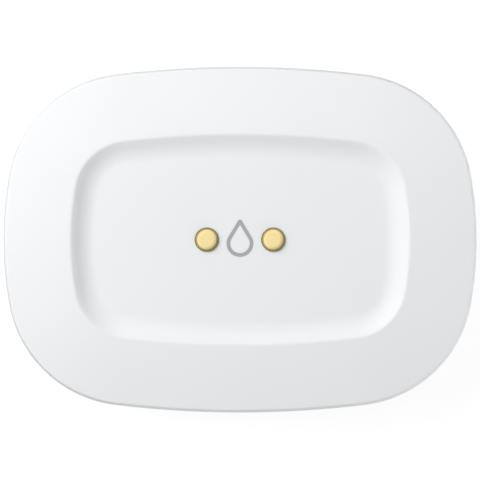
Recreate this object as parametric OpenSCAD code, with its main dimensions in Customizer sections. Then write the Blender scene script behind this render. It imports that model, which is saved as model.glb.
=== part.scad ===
// Water leak sensor. A rounded two-shell case stands on four feet. Two probes in a dish on its top catch
// drips, and four probes under its base reach standing water. A coin cell behind a round press-in door
// feeds a radio board, and a recessed button beside the door pairs the radio.
// Millimetres, +Z up, the origin on the floor under the middle of the case, +X along its length.

/* [Outline] */
// Length of the case at its parting line
body_length = 55; // [49.5:0.5:62]
// Width of the case at its parting line
body_width = 40.2; // [36:0.1:46]
// Radius of the two long sides
long_side_radius = 120; // [100:1:160]
// Radius of the two short sides
short_side_radius = 43; // [38:1:60]
// Radius of the four corners
corner_radius = 14.3; // [13:0.1:15.5]

/* [Top shell] */
// Height of the rim above the floor
body_height = 17; // [15.3:0.1:20]
// Depth of the dish below the rim
dish_depth = 1.35; // [1.1:0.05:1.6]
// Distance from the outline in to the crest of the rim
rim_width = 7.75; // [7:0.05:8.5]
// Slope of the dish wall where it meets the lip, in degrees
dish_wall_slope = 40; // [35:1:50]
// Length of the straight part of the dish wall, just under the lip
dish_wall_run = 0.8; // [0.4:0.1:1.2]
// Radius of the lip between rim and dish
lip_radius = 0.5; // [0.3:0.05:0.8]
// Slope of the rim just outside the lip, in degrees
rim_fall = 5; // [3:0.5:6]
// Slope of the rim where the shoulder begins, in degrees
rim_slope = 9; // [8:0.5:12]
// Radius of the shoulder that rolls over into the side
shoulder_radius = 0.2; // [0.15:0.05:2]
// Slope of the side where the shoulder ends, in degrees
side_slope = 85; // [78:1:88]
// Drop of the top from its middle line to the long sides
crown = 1.2; // [0:0.1:1.6]
// Thickness of the wall under the dish
top_wall = 1.6; // [1.3:0.1:1.8]
// Thickness of the wall under the rim
rim_wall = 1.9; // [1.6:0.1:2.2]
// Radius inside the shell under the shoulder
inner_corner = 1.6; // [1:0.1:3]

/* [Base shell] */
// Gap between the floor and the flat base
base_gap = 1; // [0.8:0.1:1.4]
// Thickness of the base
floor_thickness = 1.6; // [1.4:0.1:1.8]
// Lean of the side where it meets the base edge, in degrees from upright
belly_lean = 41; // [36:1:43]
// Radius of the edge around the flat base
base_edge_radius = 1.2; // [0.8:0.1:1.5]
// Radius around the floor inside the base
floor_fillet = 1; // [0.5:0.1:1.5]
// Thickness of both shells at the parting line
shell_wall = 2.2; // [2.1:0.1:2.5]
// Bevel on both shells that makes the shadow line between them
edge_bevel = 0.25; // [0.1:0.05:0.4]

/* [Case seal] */
// Land between the outline and the seal groove
seal_land = 0.75; // [0.6:0.05:0.8]
// Width of the seal groove
seal_groove = 0.8; // [0.6:0.05:0.9]
// Depth of the seal groove
seal_depth = 1; // [0.8:0.1:1.3]
// Height of the seal once it is pressed
seal_height = 0.6; // [0.4:0.05:0.7]

/* [Battery] */
// Diameter of the coin cell
cell_d = 20; // [18:0.1:22]
// Thickness of the coin cell
cell_height = 3.2; // [2.5:0.1:4]
// Distance of the cell and its door from the middle of the case
cell_offset = -3; // [-4:0.1:-2]
// Thickness of the door's flat web
door_web = 1.6; // [1.3:0.1:1.8]
// Thickness of the door's rim
door_rim = 2.4; // [2.3:0.1:2.6]
// Width of the ledge that stops the door
door_ledge = 0.85; // [0.7:0.05:0.9]
// Thickness of the wall around the door and cell
collar_wall = 1; // [0.8:0.1:1.5]
// Thickness of the door's seal ring
door_seal_d = 1; // [0.8:0.05:1.1]
// Distance from the seal ring's groove to the door's inner edge
door_seal_setback = 0.25; // [0.2:0.05:0.3]
// Gap between the door's rim and the cell, which rests on the foam pad
cell_lift = 0.2; // [0.1:0.05:0.4]
// Distance from the foam pad's edge to the door's rim
pad_margin = 1; // [0.5:0.1:2]
// Reach of the tab that a fingernail lifts
tab_reach = 1.2; // [0.8:0.1:1.4]
// Width of that tab
tab_width = 4; // [3:0.5:4.5]
// Thickness of that tab
tab_thickness = 0.6; // [0.4:0.1:0.6]
// Room for the fingernail past the tab and under it
nail_room = 1.2; // [0.8:0.1:1.3]
// Thickness of the battery contacts' strip
contact_t = 0.25; // [0.15:0.05:0.3]
// Width of the battery contacts' strip
contact_w = 4; // [3:0.5:5]
// Length of the negative contact's soldered foot
contact_foot = 3; // [2:0.5:4]
// Length of the negative contact's leaf on either side of where it touches
contact_leaf = 3; // [2:0.5:4]
// Bow of the positive contact
contact_bow = 0.8; // [0.5:0.1:1]

/* [Board] */
// Gap between the cell and the board
contact_gap = 1.2; // [0.8:0.1:1.5]
// Thickness of the board
board_t = 1; // [0.8:0.1:1.2]
// Height of the parting line above the board's underside
parting_rise = 0.8; // [0.6:0.1:0.9]
// Distance from the case's outline in to the board's edge
board_inset = 4.4; // [4:0.1:4.6]
// Gap between neighbours on the board
board_room = 0.5; // [0.3:0.1:0.7]
// Length of the radio's shield can
shield_l = 11; // [9:0.5:12]
// Width of the shield can
shield_w = 10; // [9:0.5:12]
// Height of the shield can
shield_h = 1.7; // [1.4:0.1:2.2]
// Thickness of the shield can's sheet
shield_sheet = 0.2; // [0.15:0.05:0.3]
// Width of the tactile switch
switch_w = 4.5; // [4:0.1:5]
// Height of the tactile switch
switch_h = 1.6; // [1.4:0.1:2]
// Thickness of the tactile switch over its plunger
switch_roof = 0.25; // [0.2:0.05:0.3]
// Diameter of the tactile switch's plunger
plunger_d = 1.8; // [1.5:0.1:2.4]
// Length of that plunger outside its switch
plunger_reach = 0.5; // [0.4:0.1:0.8]
// Height of the status light
led_h = 0.6; // [0.5:0.1:0.8]

/* [Probes] */
// Diameter of a probe's head
probe_head_d = 2.8; // [2.6:0.1:3.2]
// Height of a floor probe's head
probe_head_h = 0.7; // [0.5:0.05:0.75]
// Height of a drip probe's head
drip_head_h = 0.5; // [0.4:0.05:0.75]
// Diameter of a probe's shank
probe_shank_d = 1.6; // [1.4:0.1:1.8]
// Distance between the two probes in the dish
drip_spacing = 7.7; // [7:0.1:9]
// Gap between a floor probe's nut and the edge of the floor inside the base
probe_room = 0.8; // [0.3:0.1:1.2]
// Distance across the case between the two probes of a pair
floor_probe_y = 7; // [6.6:0.1:8]
// Size of a probe's nut across its flats
probe_nut_af = 3.2; // [3:0.1:3.4]
// Height of a probe's nut
probe_nut_h = 1.2; // [1:0.1:1.3]
// Length of a probe's shank past its nut
shank_tail = 0.5; // [0.3:0.1:0.6]
// Length of the foot of the finger that touches a drip probe
finger_l = 2.8; // [2:0.1:3.4]
// Thickness of the washer that seals a probe
washer_h = 0.4; // [0.3:0.05:0.5]
// Diameter of a spring pin's barrel
pin_barrel_d = 1.5; // [1.3:0.1:1.7]
// Length of a spring pin's barrel
pin_barrel_h = 2.8; // [2.4:0.1:3.2]
// Diameter of a spring pin's plunger
pin_plunger_d = 0.9; // [0.7:0.05:1]

/* [Droplet sign] */
// Width of the droplet
droplet_w = 3.1; // [2.8:0.05:3.4]
// Height of the droplet
droplet_h = 4.3; // [4:0.1:5]
// Distance of the droplet's middle from the line between the two probes
droplet_shift = 0.15; // [0:0.05:0.5]
// Width of the droplet's line
droplet_line = 0.42; // [0.3:0.02:0.5]
// Radius of the droplet's tip
droplet_tip = 0.25; // [0.15:0.05:0.3]
// Depth of the droplet's inlay
droplet_depth = 0.3; // [0.2:0.05:0.5]

/* [Feet and screws] */
// Distance from the ends of the case in to the feet, which hide the screws
foot_end = 10; // [9:0.1:11]
// Distance from the sides of the case in to the feet
foot_side = 9.6; // [8.8:0.1:10.5]
// Diameter of a foot
foot_d = 5.6; // [5:0.1:5.8]
// Depth of a foot's seat in the base
foot_seat = 0.6; // [0.4:0.1:0.7]
// Bevel around a foot's sole
foot_bevel = 0.3; // [0.1:0.1:0.5]
// Diameter of a screw's thread
screw_d = 2; // [1.8:0.1:2.2]
// Length of a screw under its head
screw_length = 10; // [9:0.5:10.5]
// Diameter of a screw's head
screw_head_d = 3.6; // [3.2:0.1:3.8]
// Height of a screw's head
screw_head_h = 1.3; // [1:0.1:1.4]
// Depth of the pocket that takes a screw's head
screw_pocket = 1.6; // [1.5:0.1:1.8]
// Diameter of the bosses that the screws clamp
boss_d = 5.2; // [4.8:0.1:5.4]

/* [Button and light] */
// Gap between the battery bay's wall and the button's flange
button_room = 0.5; // [0.3:0.1:1.5]
// Diameter of the button's face
button_d = 4.9; // [4.4:0.1:5]
// Depth of the button's face below the base
button_recess = 0.3; // [0.2:0.1:0.5]
// Travel of the button
button_travel = 0.3; // [0.2:0.05:0.35]
// Diameter of the flange that holds the button in
button_flange_d = 6.4; // [6:0.1:7]
// Thickness of that flange
button_flange_t = 0.7; // [0.5:0.1:1]
// Diameter of the stem that reaches the switch
button_stem_d = 2.8; // [2:0.1:3]
// Distance across the case from the button to the light pipe
light_y = 6.6; // [5.8:0.1:7]
// Diameter of the light pipe
light_d = 1.8; // [1.4:0.1:1.9]
// Width and thickness of the light pipe's collar
light_collar = 0.5; // [0.4:0.1:0.6]

/* [Clearances] */
// Radial clearance of a piece that is put in once
fit_gap = 0.05; // [0.03:0.01:0.1]
// Radial clearance of a piece that slides
slide_gap = 0.1; // [0.05:0.01:0.15]
// Radial clearance of the cell and the door in the case
door_gap = 0.15; // [0.1:0.01:0.2]

/* [Hidden] */
$fn = 64;
// Cuts run this far past the faces that they open
over = 1;

// Heights, from the floor up
base_z = base_gap;
floor_z = base_z + floor_thickness;
ledge_z = base_z + door_rim;
cell_z = ledge_z + cell_lift;
cell_top = cell_z + cell_height;
board_z = cell_top + contact_gap;
board_top = board_z + board_t;
parting = board_z + parting_rise;
dish_z = body_height - dish_depth;
dish_ceiling = dish_z - top_wall;
rim_ceiling = body_height - rim_wall;

// Corner of the outline: its arc touches both side arcs from inside
long_centre = [0, body_width / 2 - long_side_radius];
short_centre = [body_length / 2 - short_side_radius, 0];
corner_centre = circles_meet(long_centre, long_side_radius - corner_radius,
                             short_centre, short_side_radius - corner_radius);
long_end = direction(corner_centre - long_centre);
short_end = direction(corner_centre - short_centre);

// Section of the top shell: two radii are solved so that it ends upright at the parting line
rim_run = rim_width - lip_radius * sin(rim_fall) - shoulder_radius * (sin(side_slope) - sin(rim_slope));
rim_drop = body_height - lip_radius * (1 - cos(rim_fall)) - parting - edge_bevel
    - shoulder_radius * (cos(rim_slope) - cos(side_slope));
rim_sin = sin(rim_slope) - sin(rim_fall);
rim_cos = cos(rim_fall) - cos(rim_slope);
section_det = rim_sin * cos(side_slope) - rim_cos * (1 - sin(side_slope));
rim_radius = (rim_run * cos(side_slope) - rim_drop * (1 - sin(side_slope))) / section_det;
side_radius = (rim_drop * rim_sin - rim_run * rim_cos) / section_det;
lip_start = [rim_width, body_height] + lip_radius * [sin(dish_wall_slope), cos(dish_wall_slope) - 1];
dish_wall_radius = (dish_depth - dish_wall_run * sin(dish_wall_slope)) / (1 - cos(dish_wall_slope)) - lip_radius;
dish_edge = lip_start.x + dish_wall_run * cos(dish_wall_slope) + dish_wall_radius * sin(dish_wall_slope);

// Section of the base shell: its belly ends upright under the parting line
belly_z = parting - edge_bevel;
belly_radius = (belly_z - base_z - base_edge_radius * (1 - sin(belly_lean))) / sin(belly_lean);
inner_belly = (belly_z - floor_z - floor_fillet * (1 - sin(belly_lean))) / sin(belly_lean);
floor_edge = shell_wall + inner_belly * (1 - cos(belly_lean)) + floor_fillet * cos(belly_lean);

// Seal groove in the base shell and the tongue that presses the seal
groove_out = seal_land;
groove_in = seal_land + seal_groove;
groove_z = parting - seal_depth;
tongue_z = groove_z + seal_height;

// Battery bay
cell_r = cell_d / 2;
bay_r = cell_r + door_gap;
mouth_r = bay_r + door_ledge;
door_r = mouth_r - door_gap;
recess_r = cell_r - door_ledge;
collar_r = mouth_r + collar_wall;
collar_z = cell_top - contact_gap;
contact_slot_z = cell_z + cell_height / 5;
door_seal_r = (door_seal_d - fit_gap) / 2;
door_seal_z = ledge_z - door_seal_setback - door_seal_d / 2;

// Probes
nut_r = probe_nut_af / 2 / cos(30);
floor_probe_x = body_length - 2 * (floor_edge + probe_room + nut_r);
shank_r = probe_shank_d / 2;
washer_r = probe_head_d / 2 - fit_gap;
drip_tail_z = dish_ceiling - probe_nut_h - shank_tail;
floor_tail_z = floor_z + probe_nut_h + shank_tail;

// Feet, screws, button and light
foot_x = body_length - 2 * foot_end;
foot_y = body_width - 2 * foot_side;
button_x = cell_offset + collar_r + button_room + button_flange_d / 2;
head_seat_z = base_z + foot_seat + screw_pocket;
switch_z = board_z - switch_h;
stem_top = switch_z - plunger_reach;
plunger_top = board_z - switch_roof - button_travel - slide_gap;
button_face = base_z + button_recess;
flange_z = floor_z + fit_gap;
button_seal_r = button_d / 2 - (flange_z - button_face) / 4;
button_seal_low = button_face + (flange_z - button_face) / 4;
button_seal_high = flange_z - (flange_z - button_face) / 4;
light_top = board_z - led_h - slide_gap;

// Places of the board's parts, and the sizes of the small ones. A row is its first place and its count
board_end = body_length / 2 - board_inset;
shield_place = [shield_l / 2 + 3 - board_end, 0];
radio_chip_size = [6, 6, 0.9];
crystal_place = [-10.5, 7.5];
crystal_size = [3.2, 2.5, 0.7];
antenna_place = [board_end - 2.7, 0];
antenna_size = [2.2, 6.5, 1];
temperature_place = [11, -7];
temperature_size = [2, 2, 0.7];
capacitor_place = [10.5, 6.5];
capacitor_size = [3.5, 2.8, 1.9];
passive_size = [0.8, 1.6, 0.8];
passive_pitch = 1.8;
passive_rows = [[[-9.5, -7], 5], [[-9.5, -9.5], 5], [[11, 1.5], 3]];
led_size = [1.6, 0.8, led_h];

// Each corner and each end of the case: its name and the side it lies on
CORNERS = [["front_left", -1, -1], ["front_right", 1, -1], ["back_left", -1, 1], ["back_right", 1, 1]];
SIDES = [["left", -1], ["right", 1]];

// Geometry of the outline

function direction(v) = atan2(v.y, v.x);

// Where two circles meet, on the right of the line from a to b
function circles_meet(a, ra, b, rb) =
    let (gap = norm(b - a), e = (b - a) / gap, along = (ra * ra - rb * rb + gap * gap) / (2 * gap))
    a + along * e + sqrt(ra * ra - along * along) * [e.y, -e.x];

// Angles of the outline's points over one quarter, with the corner drawn finest
SIDE_STEPS = 3;
CORNER_STEPS = 12;
QUARTER = concat([for (i = [0:SIDE_STEPS - 1]) short_end * i / SIDE_STEPS],
                 [for (i = [0:CORNER_STEPS - 1]) short_end + (long_end - short_end) * i / CORNER_STEPS],
                 [for (i = [0:SIDE_STEPS]) long_end + (90 - long_end) * i / SIDE_STEPS]);
LAST = len(QUARTER) - 1;

// A point of the first quarter, moved in from the outline along its normal
function quarter_point(angle, inset) =
    let (n = [cos(angle), sin(angle)])
    angle < short_end ? short_centre + (short_side_radius - inset) * n
    : angle < long_end ? corner_centre + (corner_radius - inset) * n
    : long_centre + (long_side_radius - inset) * n;

// The whole outline, counter-clockwise from +X, at an inset
function outline(inset) =
    let (q = [for (a = QUARTER) quarter_point(a, inset)])
    concat([for (i = [0:LAST - 1]) q[i]],
           [for (i = [0:LAST - 1]) [-q[LAST - i].x, q[LAST - i].y]],
           [for (i = [0:LAST - 1]) -q[i]],
           [for (i = [0:LAST - 1]) [q[LAST - i].x, -q[LAST - i].y]]);

// Geometry of the sections, which are lists of [inset, height]

// Which way a section faces: 0 is up, 90 is in, -90 is out and 180 or -180 is down
function facing(slope) = [sin(slope), cos(slope)];

// A chain of arcs, each tangent to the last. An arc is [radius, end slope, steps], and a negative radius
// makes it hollow
function arcs(start, slope, list, i = 0) =
    i == len(list) ? [start] :
    let (steps = list[i][2],
         turn = list[i][1] - slope,
         points = [for (k = [0:steps])
             start + list[i][0] * (facing(slope + turn * k / steps) - facing(slope))])
    concat([for (k = [0:steps - 1]) points[k]], arcs(points[steps], list[i][1], list, i + 1));

// Height of a section's point at a place across the case. The outside bows down to the long sides, and the
// dish keeps its flat floor
function crowned(point, y, drop) =
    let (fall = drop * pow(2 * y / body_width, 2), inset = point[0], z = point[1])
    z <= parting ? z
    : inset > rim_width ? z - fall * max(z - dish_z, 0) / dish_depth
    : z - fall * (z - parting) / (body_height - parting);

// A closed skin over the section carried round the outline. The first ring is capped above, the last below
module skin(section, drop = 0) {
    rings = [for (s = section) [for (p = outline(s[0])) [p.x, p.y, crowned(s, p.y, drop)]]];
    around = len(rings[0]);
    last = (len(rings) - 1) * around;
    polyhedron(
        points = [for (r = rings) each r],
        faces = concat(
            [[for (i = [around - 1:-1:0]) i]],
            [for (k = [0:len(rings) - 2], i = [0:around - 1])
                let (a = k * around + i, b = k * around + (i + 1) % around)
                each [[a, b, b + around], [a, b + around, a + around]]],
            [[for (i = [0:around - 1]) last + i]]),
        convexity = 8);
}

// A strip of sheet that follows a path, as the outline of its edge
function strip(path, t) =
    let (last = len(path) - 1,
         unit = [for (i = [0:last - 1]) (path[i + 1] - path[i]) / norm(path[i + 1] - path[i])],
         side = [for (i = [0:last])
             let (u = unit[max(i - 1, 0)], v = unit[min(i, last - 1)])
             [-(u + v).y, (u + v).x] / (1 + u * v) * t / 2])
    concat([for (i = [0:last]) path[i] + side[i]], [for (i = [last:-1:0]) path[i] - side[i]]);

// A strip of sheet of a given width, its path in the XZ plane
module bent_strip(path, t, w) {
    rotate([90, 0, 0]) linear_extrude(w, center = true) polygon(strip(path, t));
}

// Places its children under each corner of a rectangle
module at_corners(x, y) {
    for (c = CORNERS) translate([c[1] * x / 2, c[2] * y / 2, 0]) children();
}

// A cylinder between two heights
module rod(d, z0, z1) {
    translate([0, 0, z0]) cylinder(d = d, h = z1 - z0);
}

// A ring between two heights
module ring(d_in, d_out, z0, z1) {
    translate([0, 0, z0]) rotate_extrude() translate([d_in / 2, 0]) square([(d_out - d_in) / 2, z1 - z0]);
}

// A box that stands on a height, centred on a place
module chip(place, size, z) {
    translate([place.x - size.x / 2, place.y - size.y / 2, z]) cube(size);
}

// Case

module upper_housing() {
    tongue_out = groove_out + fit_gap;
    tongue_in = groove_in - fit_gap;
    section = concat(
        arcs([dish_edge, dish_z], 0, [[-dish_wall_radius, dish_wall_slope, 6]]),
        arcs(lip_start, dish_wall_slope, [[lip_radius, -rim_fall, 4], [rim_radius, -rim_slope, 4],
            [shoulder_radius, -side_slope, 6], [side_radius, -90, 3]]),
        [[edge_bevel, parting], [tongue_out, parting], [tongue_out, tongue_z],
         [tongue_in, tongue_z], [tongue_in, parting], [shell_wall, parting]],
        arcs([shell_wall, rim_ceiling - inner_corner], 90, [[-inner_corner, 180, 4]]),
        [[rim_width, rim_ceiling], [dish_edge - rim_wall, dish_ceiling]]);
    color("white") difference() {
        union() {
            skin(section, crown);
            at_corners(foot_x, foot_y) rod(boss_d, board_top, rim_ceiling + rim_wall / 4);
        }
        at_corners(foot_x, foot_y)
            rod(screw_d + 2 * fit_gap, board_top - over, head_seat_z + screw_length + fit_gap);
        for (s = SIDES) translate([s[1] * drip_spacing / 2, 0, 0]) {
            rod(probe_shank_d + 2 * fit_gap, dish_ceiling - over, dish_z + over);
            rod(2 * (washer_r + fit_gap), dish_z - washer_h, dish_z + over);
        }
        translate([0, 0, dish_z - droplet_depth]) linear_extrude(droplet_depth + over) droplet(fit_gap);
    }
}

module lower_housing() {
    section = concat(
        arcs([floor_edge, floor_z], 0, [[-floor_fillet, 90 - belly_lean, 3], [-inner_belly, 90, 5]]),
        [[shell_wall, parting], [groove_in, parting], [groove_in, groove_z],
         [groove_out, groove_z], [groove_out, parting], [edge_bevel, parting]],
        arcs([0, belly_z], -90, [[belly_radius, -90 - belly_lean, 6], [base_edge_radius, -180, 4]]));
    color("white") difference() {
        union() {
            skin(section);
            at_corners(foot_x, foot_y) rod(boss_d, floor_z - floor_thickness / 2, board_z);
            translate([cell_offset, 0, 0]) rod(2 * collar_r, floor_z - floor_thickness / 2, collar_z);
        }
        at_corners(foot_x, foot_y) {
            rod(screw_d + 2 * slide_gap, base_z, board_z + over);
            rod(screw_head_d + 2 * slide_gap, base_z, head_seat_z);
            rod(foot_d + 2 * slide_gap, base_z - over, base_z + foot_seat);
        }
        translate([cell_offset, 0, 0]) {
            rod(2 * mouth_r, base_z - over, ledge_z);
            rod(2 * bay_r, base_z, collar_z + over);
            door_tab(door_gap, nail_room, base_z - over, base_z + nail_room);
            translate([0, -contact_w / 2 - slide_gap, contact_slot_z])
                cube([collar_r + over, contact_w + 2 * slide_gap, collar_z]);
        }
        at_corners(floor_probe_x, floor_probe_y) {
            rod(probe_shank_d + 2 * fit_gap, base_z - over, floor_z + over);
            rod(2 * (washer_r + fit_gap), base_z - over, base_z + washer_h);
        }
        translate([button_x, 0, 0]) rod(button_d + 2 * slide_gap, base_z - over, floor_z + over);
        translate([button_x, light_y, 0]) rod(light_d + 2 * fit_gap, base_z - over, floor_z + over);
    }
}

module housing_seal() {
    color("lightgray") translate([0, 0, groove_z]) linear_extrude(seal_height) difference() {
        polygon(outline(groove_out + fit_gap));
        polygon(outline(groove_in - fit_gap));
    }
}

// A droplet with its tip towards +Y, grown all round
module droplet_shape(grow) {
    r = droplet_w / 2;
    tip_y = droplet_h - r - droplet_tip;
    lean = acos((r - droplet_tip) / tip_y);
    translate([0, droplet_shift + r - droplet_h / 2]) polygon(concat(
        [for (i = [0:36]) let (a = 90 + lean + i * (360 - 2 * lean) / 36) (r + grow) * [cos(a), sin(a)]],
        [for (i = [0:8]) let (a = 90 - lean + i * 2 * lean / 8)
            [0, tip_y] + (droplet_tip + grow) * [cos(a), sin(a)]]));
}

// The droplet's line, grown all round
module droplet(grow) {
    difference() {
        droplet_shape(grow);
        droplet_core(grow);
    }
}

// The bare middle of the droplet, whose tip is sharp
module droplet_core(grow) {
    r = droplet_w / 2 - droplet_line - grow;
    tip_y = (droplet_h - droplet_w / 2 - droplet_tip) * r / (droplet_w / 2 - droplet_tip);
    lean = acos(r / tip_y);
    translate([0, droplet_shift + droplet_w / 2 - droplet_h / 2]) polygon(concat(
        [for (i = [0:36]) let (a = 90 + lean + i * (360 - 2 * lean) / 36) r * [cos(a), sin(a)]],
        [[0, tip_y]]));
}

module droplet_inlay() {
    color("darkgray") translate([0, 0, dish_z - droplet_depth]) linear_extrude(droplet_depth) droplet(0);
}

// Probes: a stud whose head faces up, seated at height 0, with its shank below

module probe(tail, head_h) {
    r = probe_head_d / 2;
    crown = head_h * 0.6;
    color("gold") rotate_extrude() polygon(concat(
        [[0, -tail], [shank_r, -tail], [shank_r, 0], [r, 0]],
        [for (i = [0:6]) [r - crown * (1 - cos(15 * i)), head_h - crown * (1 - sin(15 * i))]],
        [[0, head_h]]));
}

module drip_probe(side) {
    translate([side[1] * drip_spacing / 2, 0, dish_z]) probe(dish_z - drip_tail_z, drip_head_h);
}

module drip_probe_washers() {
    for (s = SIDES) translate([s[1] * drip_spacing / 2, 0, 0]) probe_washer(dish_z - washer_h);
}

module probe_washer(z) {
    color("lightgray") ring(probe_shank_d + 2 * fit_gap, 2 * washer_r, z, z + washer_h);
}

module probe_nut(z) {
    color("silver") difference() {
        translate([0, 0, z]) cylinder(r = nut_r, h = probe_nut_h, $fn = 6);
        rod(probe_shank_d + 2 * fit_gap, z - over, z + probe_nut_h + over);
    }
}

module drip_probe_nuts() {
    for (s = SIDES) translate([s[1] * drip_spacing / 2, 0, 0]) probe_nut(dish_ceiling - probe_nut_h);
}

// Fingers on the board that press up against the drip probes
module drip_spring_fingers() {
    rise = drip_tail_z - board_top;
    t = contact_t;
    path = [[finger_l / 2, t / 2], [-finger_l / 2, t / 2], [-finger_l * 0.65, rise * 0.35],
            [-finger_l / 3, rise * 0.75], [-finger_l / 8, rise - t / 2], [finger_l / 8, rise - t / 2],
            [finger_l / 3, rise * 0.85]];
    color("gold") for (s = SIDES) translate([s[1] * drip_spacing / 2, 0, board_top])
        mirror([s[1] < 0 ? 1 : 0, 0, 0]) bent_strip(path, t, probe_shank_d);
}

module floor_probe(corner) {
    translate([corner[1] * floor_probe_x / 2, corner[2] * floor_probe_y / 2, base_z])
        rotate([180, 0, 0]) probe(floor_tail_z - base_z, probe_head_h);
}

module floor_probe_washers() {
    at_corners(floor_probe_x, floor_probe_y) probe_washer(base_z);
}

module floor_probe_nuts() {
    at_corners(floor_probe_x, floor_probe_y) probe_nut(floor_z);
}

module spring_pin_barrels() {
    bore = pin_plunger_d + 2 * fit_gap;
    bottom = board_z - pin_barrel_h;
    color("gold") at_corners(floor_probe_x, floor_probe_y) difference() {
        rod(pin_barrel_d, bottom, board_z);
        rod(bore, bottom - over, board_z - pin_barrel_h / 3);
    }
}

module spring_pin_plungers() {
    color("gold") at_corners(floor_probe_x, floor_probe_y)
        rod(pin_plunger_d, floor_tail_z, board_z - pin_barrel_h / 2);
}

// Feet and screws

module foot(corner) {
    r = foot_d / 2;
    top = base_z + foot_seat;
    color("gray") translate([corner[1] * foot_x / 2, corner[2] * foot_y / 2, 0]) rotate_extrude()
        polygon([[0, 0], [r - foot_bevel, 0], [r, foot_bevel], [r, top], [0, top]]);
}

module housing_screws() {
    r = screw_d / 2;
    recess_w = 0.6;
    recess_l = screw_head_d * 0.6;
    color("silver") at_corners(foot_x, foot_y) translate([0, 0, head_seat_z]) difference() {
        rotate_extrude() polygon([[0, -screw_head_h], [screw_head_d / 2 - 0.3, -screw_head_h],
            [screw_head_d / 2, 0.3 - screw_head_h], [screw_head_d / 2, 0], [r, 0],
            [r, screw_length - r], [r / 2, screw_length], [0, screw_length]]);
        for (a = [0, 90]) rotate(a)
            translate([-recess_l / 2, -recess_w / 2, -screw_head_h - over])
                cube([recess_l, recess_w, over + screw_head_h / 2]);
    }
}

// Battery bay

// The tab on the door's edge, grown at its sides and made longer, between two heights
module door_tab(grow, longer, z0, z1) {
    width = tab_width + 2 * grow;
    intersection() {
        rod(2 * (door_r + tab_reach + longer), z0, z1);
        translate([-2 * door_r, -width / 2, z0]) cube([2 * door_r, width, z1 - z0]);
    }
}

module battery_door() {
    color("white") translate([cell_offset, 0, 0]) difference() {
        union() {
            rod(2 * door_r, base_z, ledge_z);
            door_tab(0, 0, base_z, base_z + tab_thickness);
        }
        rod(2 * recess_r, base_z + door_web, ledge_z + over);
        ring(2 * (mouth_r - door_seal_d - fit_gap), 2 * mouth_r,
             door_seal_z - door_seal_d / 2, door_seal_z + door_seal_d / 2);
    }
}

module door_seal() {
    color("dimgray") translate([cell_offset, 0, door_seal_z]) rotate_extrude()
        translate([mouth_r - fit_gap - door_seal_r, 0]) circle(door_seal_r);
}

module cell_pad() {
    color("dimgray") translate([cell_offset, 0, 0])
        rod(2 * (recess_r - pad_margin), base_z + door_web, cell_z);
}

module coin_cell() {
    cap_step = 0.6;
    cap_r = cell_r - 1.8;
    edge = 0.4;
    color("silver") translate([cell_offset, 0, cell_z]) rotate_extrude() polygon([
        [0, 0], [cell_r - edge, 0], [cell_r, edge], [cell_r, cell_height - cap_step - edge],
        [cell_r - edge, cell_height - cap_step], [cap_r, cell_height - cap_step],
        [cap_r, cell_height], [0, cell_height]]);
}

// A bowed strip from the board down the side of the cell
module positive_contact() {
    t = contact_t;
    touch = cell_r + fit_gap + t / 2;
    foot_end_x = button_x - cell_offset - switch_w / 2 - board_room;
    path = [[foot_end_x, board_z - t / 2], [touch + contact_bow, board_z - t / 2],
            [touch + contact_bow / 2, cell_top - cell_height / 5], [touch, cell_top - cell_height / 2],
            [touch + contact_bow, cell_z + cell_height / 4]];
    color("gold") translate([cell_offset, 0, 0]) bent_strip(path, t, contact_w);
}

// A leaf from the board down to the middle of the cell
module negative_contact() {
    t = contact_t;
    path = [[-contact_leaf - contact_foot, board_z - t / 2], [-contact_leaf, board_z - t / 2],
            [-contact_leaf / 3, cell_top + t / 2], [contact_leaf / 3, cell_top + t / 2],
            [contact_leaf, cell_top + contact_gap / 2]];
    color("gold") translate([cell_offset, 0, 0]) bent_strip(path, t, contact_w);
}

// Board

module circuit_board() {
    color("green") difference() {
        translate([0, 0, board_z]) linear_extrude(board_t) polygon(outline(board_inset));
        at_corners(foot_x, foot_y) rod(screw_d + 2 * slide_gap, board_z - over, board_top + over);
    }
}

module radio_shield() {
    inside = [shield_l - 2 * shield_sheet, shield_w - 2 * shield_sheet, shield_h];
    color("silver") difference() {
        chip(shield_place, [shield_l, shield_w, shield_h], board_top);
        chip(shield_place, inside, board_top - shield_sheet);
    }
}

module radio_chip() {
    color("black") chip(shield_place, radio_chip_size, board_top);
}

module crystal() {
    color("gold") chip(crystal_place, crystal_size, board_top);
}

module antenna() {
    color("white") chip(antenna_place, antenna_size, board_top);
}

module temperature_chip() {
    color("black") chip(temperature_place, temperature_size, board_top);
}

module reservoir_capacitor() {
    color("orange") chip(capacitor_place, capacitor_size, board_top);
}

// Rows of small passives, two beside the radio and one beside the antenna
module board_passives() {
    color("tan") for (row = passive_rows, i = [0:row[1] - 1])
        chip(row[0] + [i * passive_pitch, 0], passive_size, board_top);
}

// Button, switch and light

module tact_switch() {
    color("dimgray") difference() {
        chip([button_x, 0], [switch_w, switch_w, switch_h], switch_z);
        translate([button_x, 0, 0])
            rod(plunger_d + 2 * slide_gap, switch_z - over, board_z - switch_roof);
    }
}

module switch_plunger() {
    color("black") translate([button_x, 0, 0]) rod(plunger_d, stem_top, plunger_top);
}

module pairing_button() {
    r = button_d / 2;
    bevel = 0.2;
    flange_r = button_flange_d / 2;
    flange_top = flange_z + button_flange_t;
    stem_r = button_stem_d / 2;
    color("lightgray") translate([button_x, 0, 0]) rotate_extrude() polygon([
        [0, button_face], [r - bevel, button_face], [r, button_face + bevel], [r, button_seal_low],
        [button_seal_r, button_seal_low], [button_seal_r, button_seal_high], [r, button_seal_high],
        [r, flange_z], [flange_r, flange_z], [flange_r, flange_top], [stem_r, flange_top],
        [stem_r, stem_top], [0, stem_top]]);
}

module button_seal() {
    color("gray") translate([button_x, 0, 0])
        ring(2 * (button_seal_r + fit_gap), button_d + slide_gap, button_seal_low, button_seal_high);
}

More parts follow.
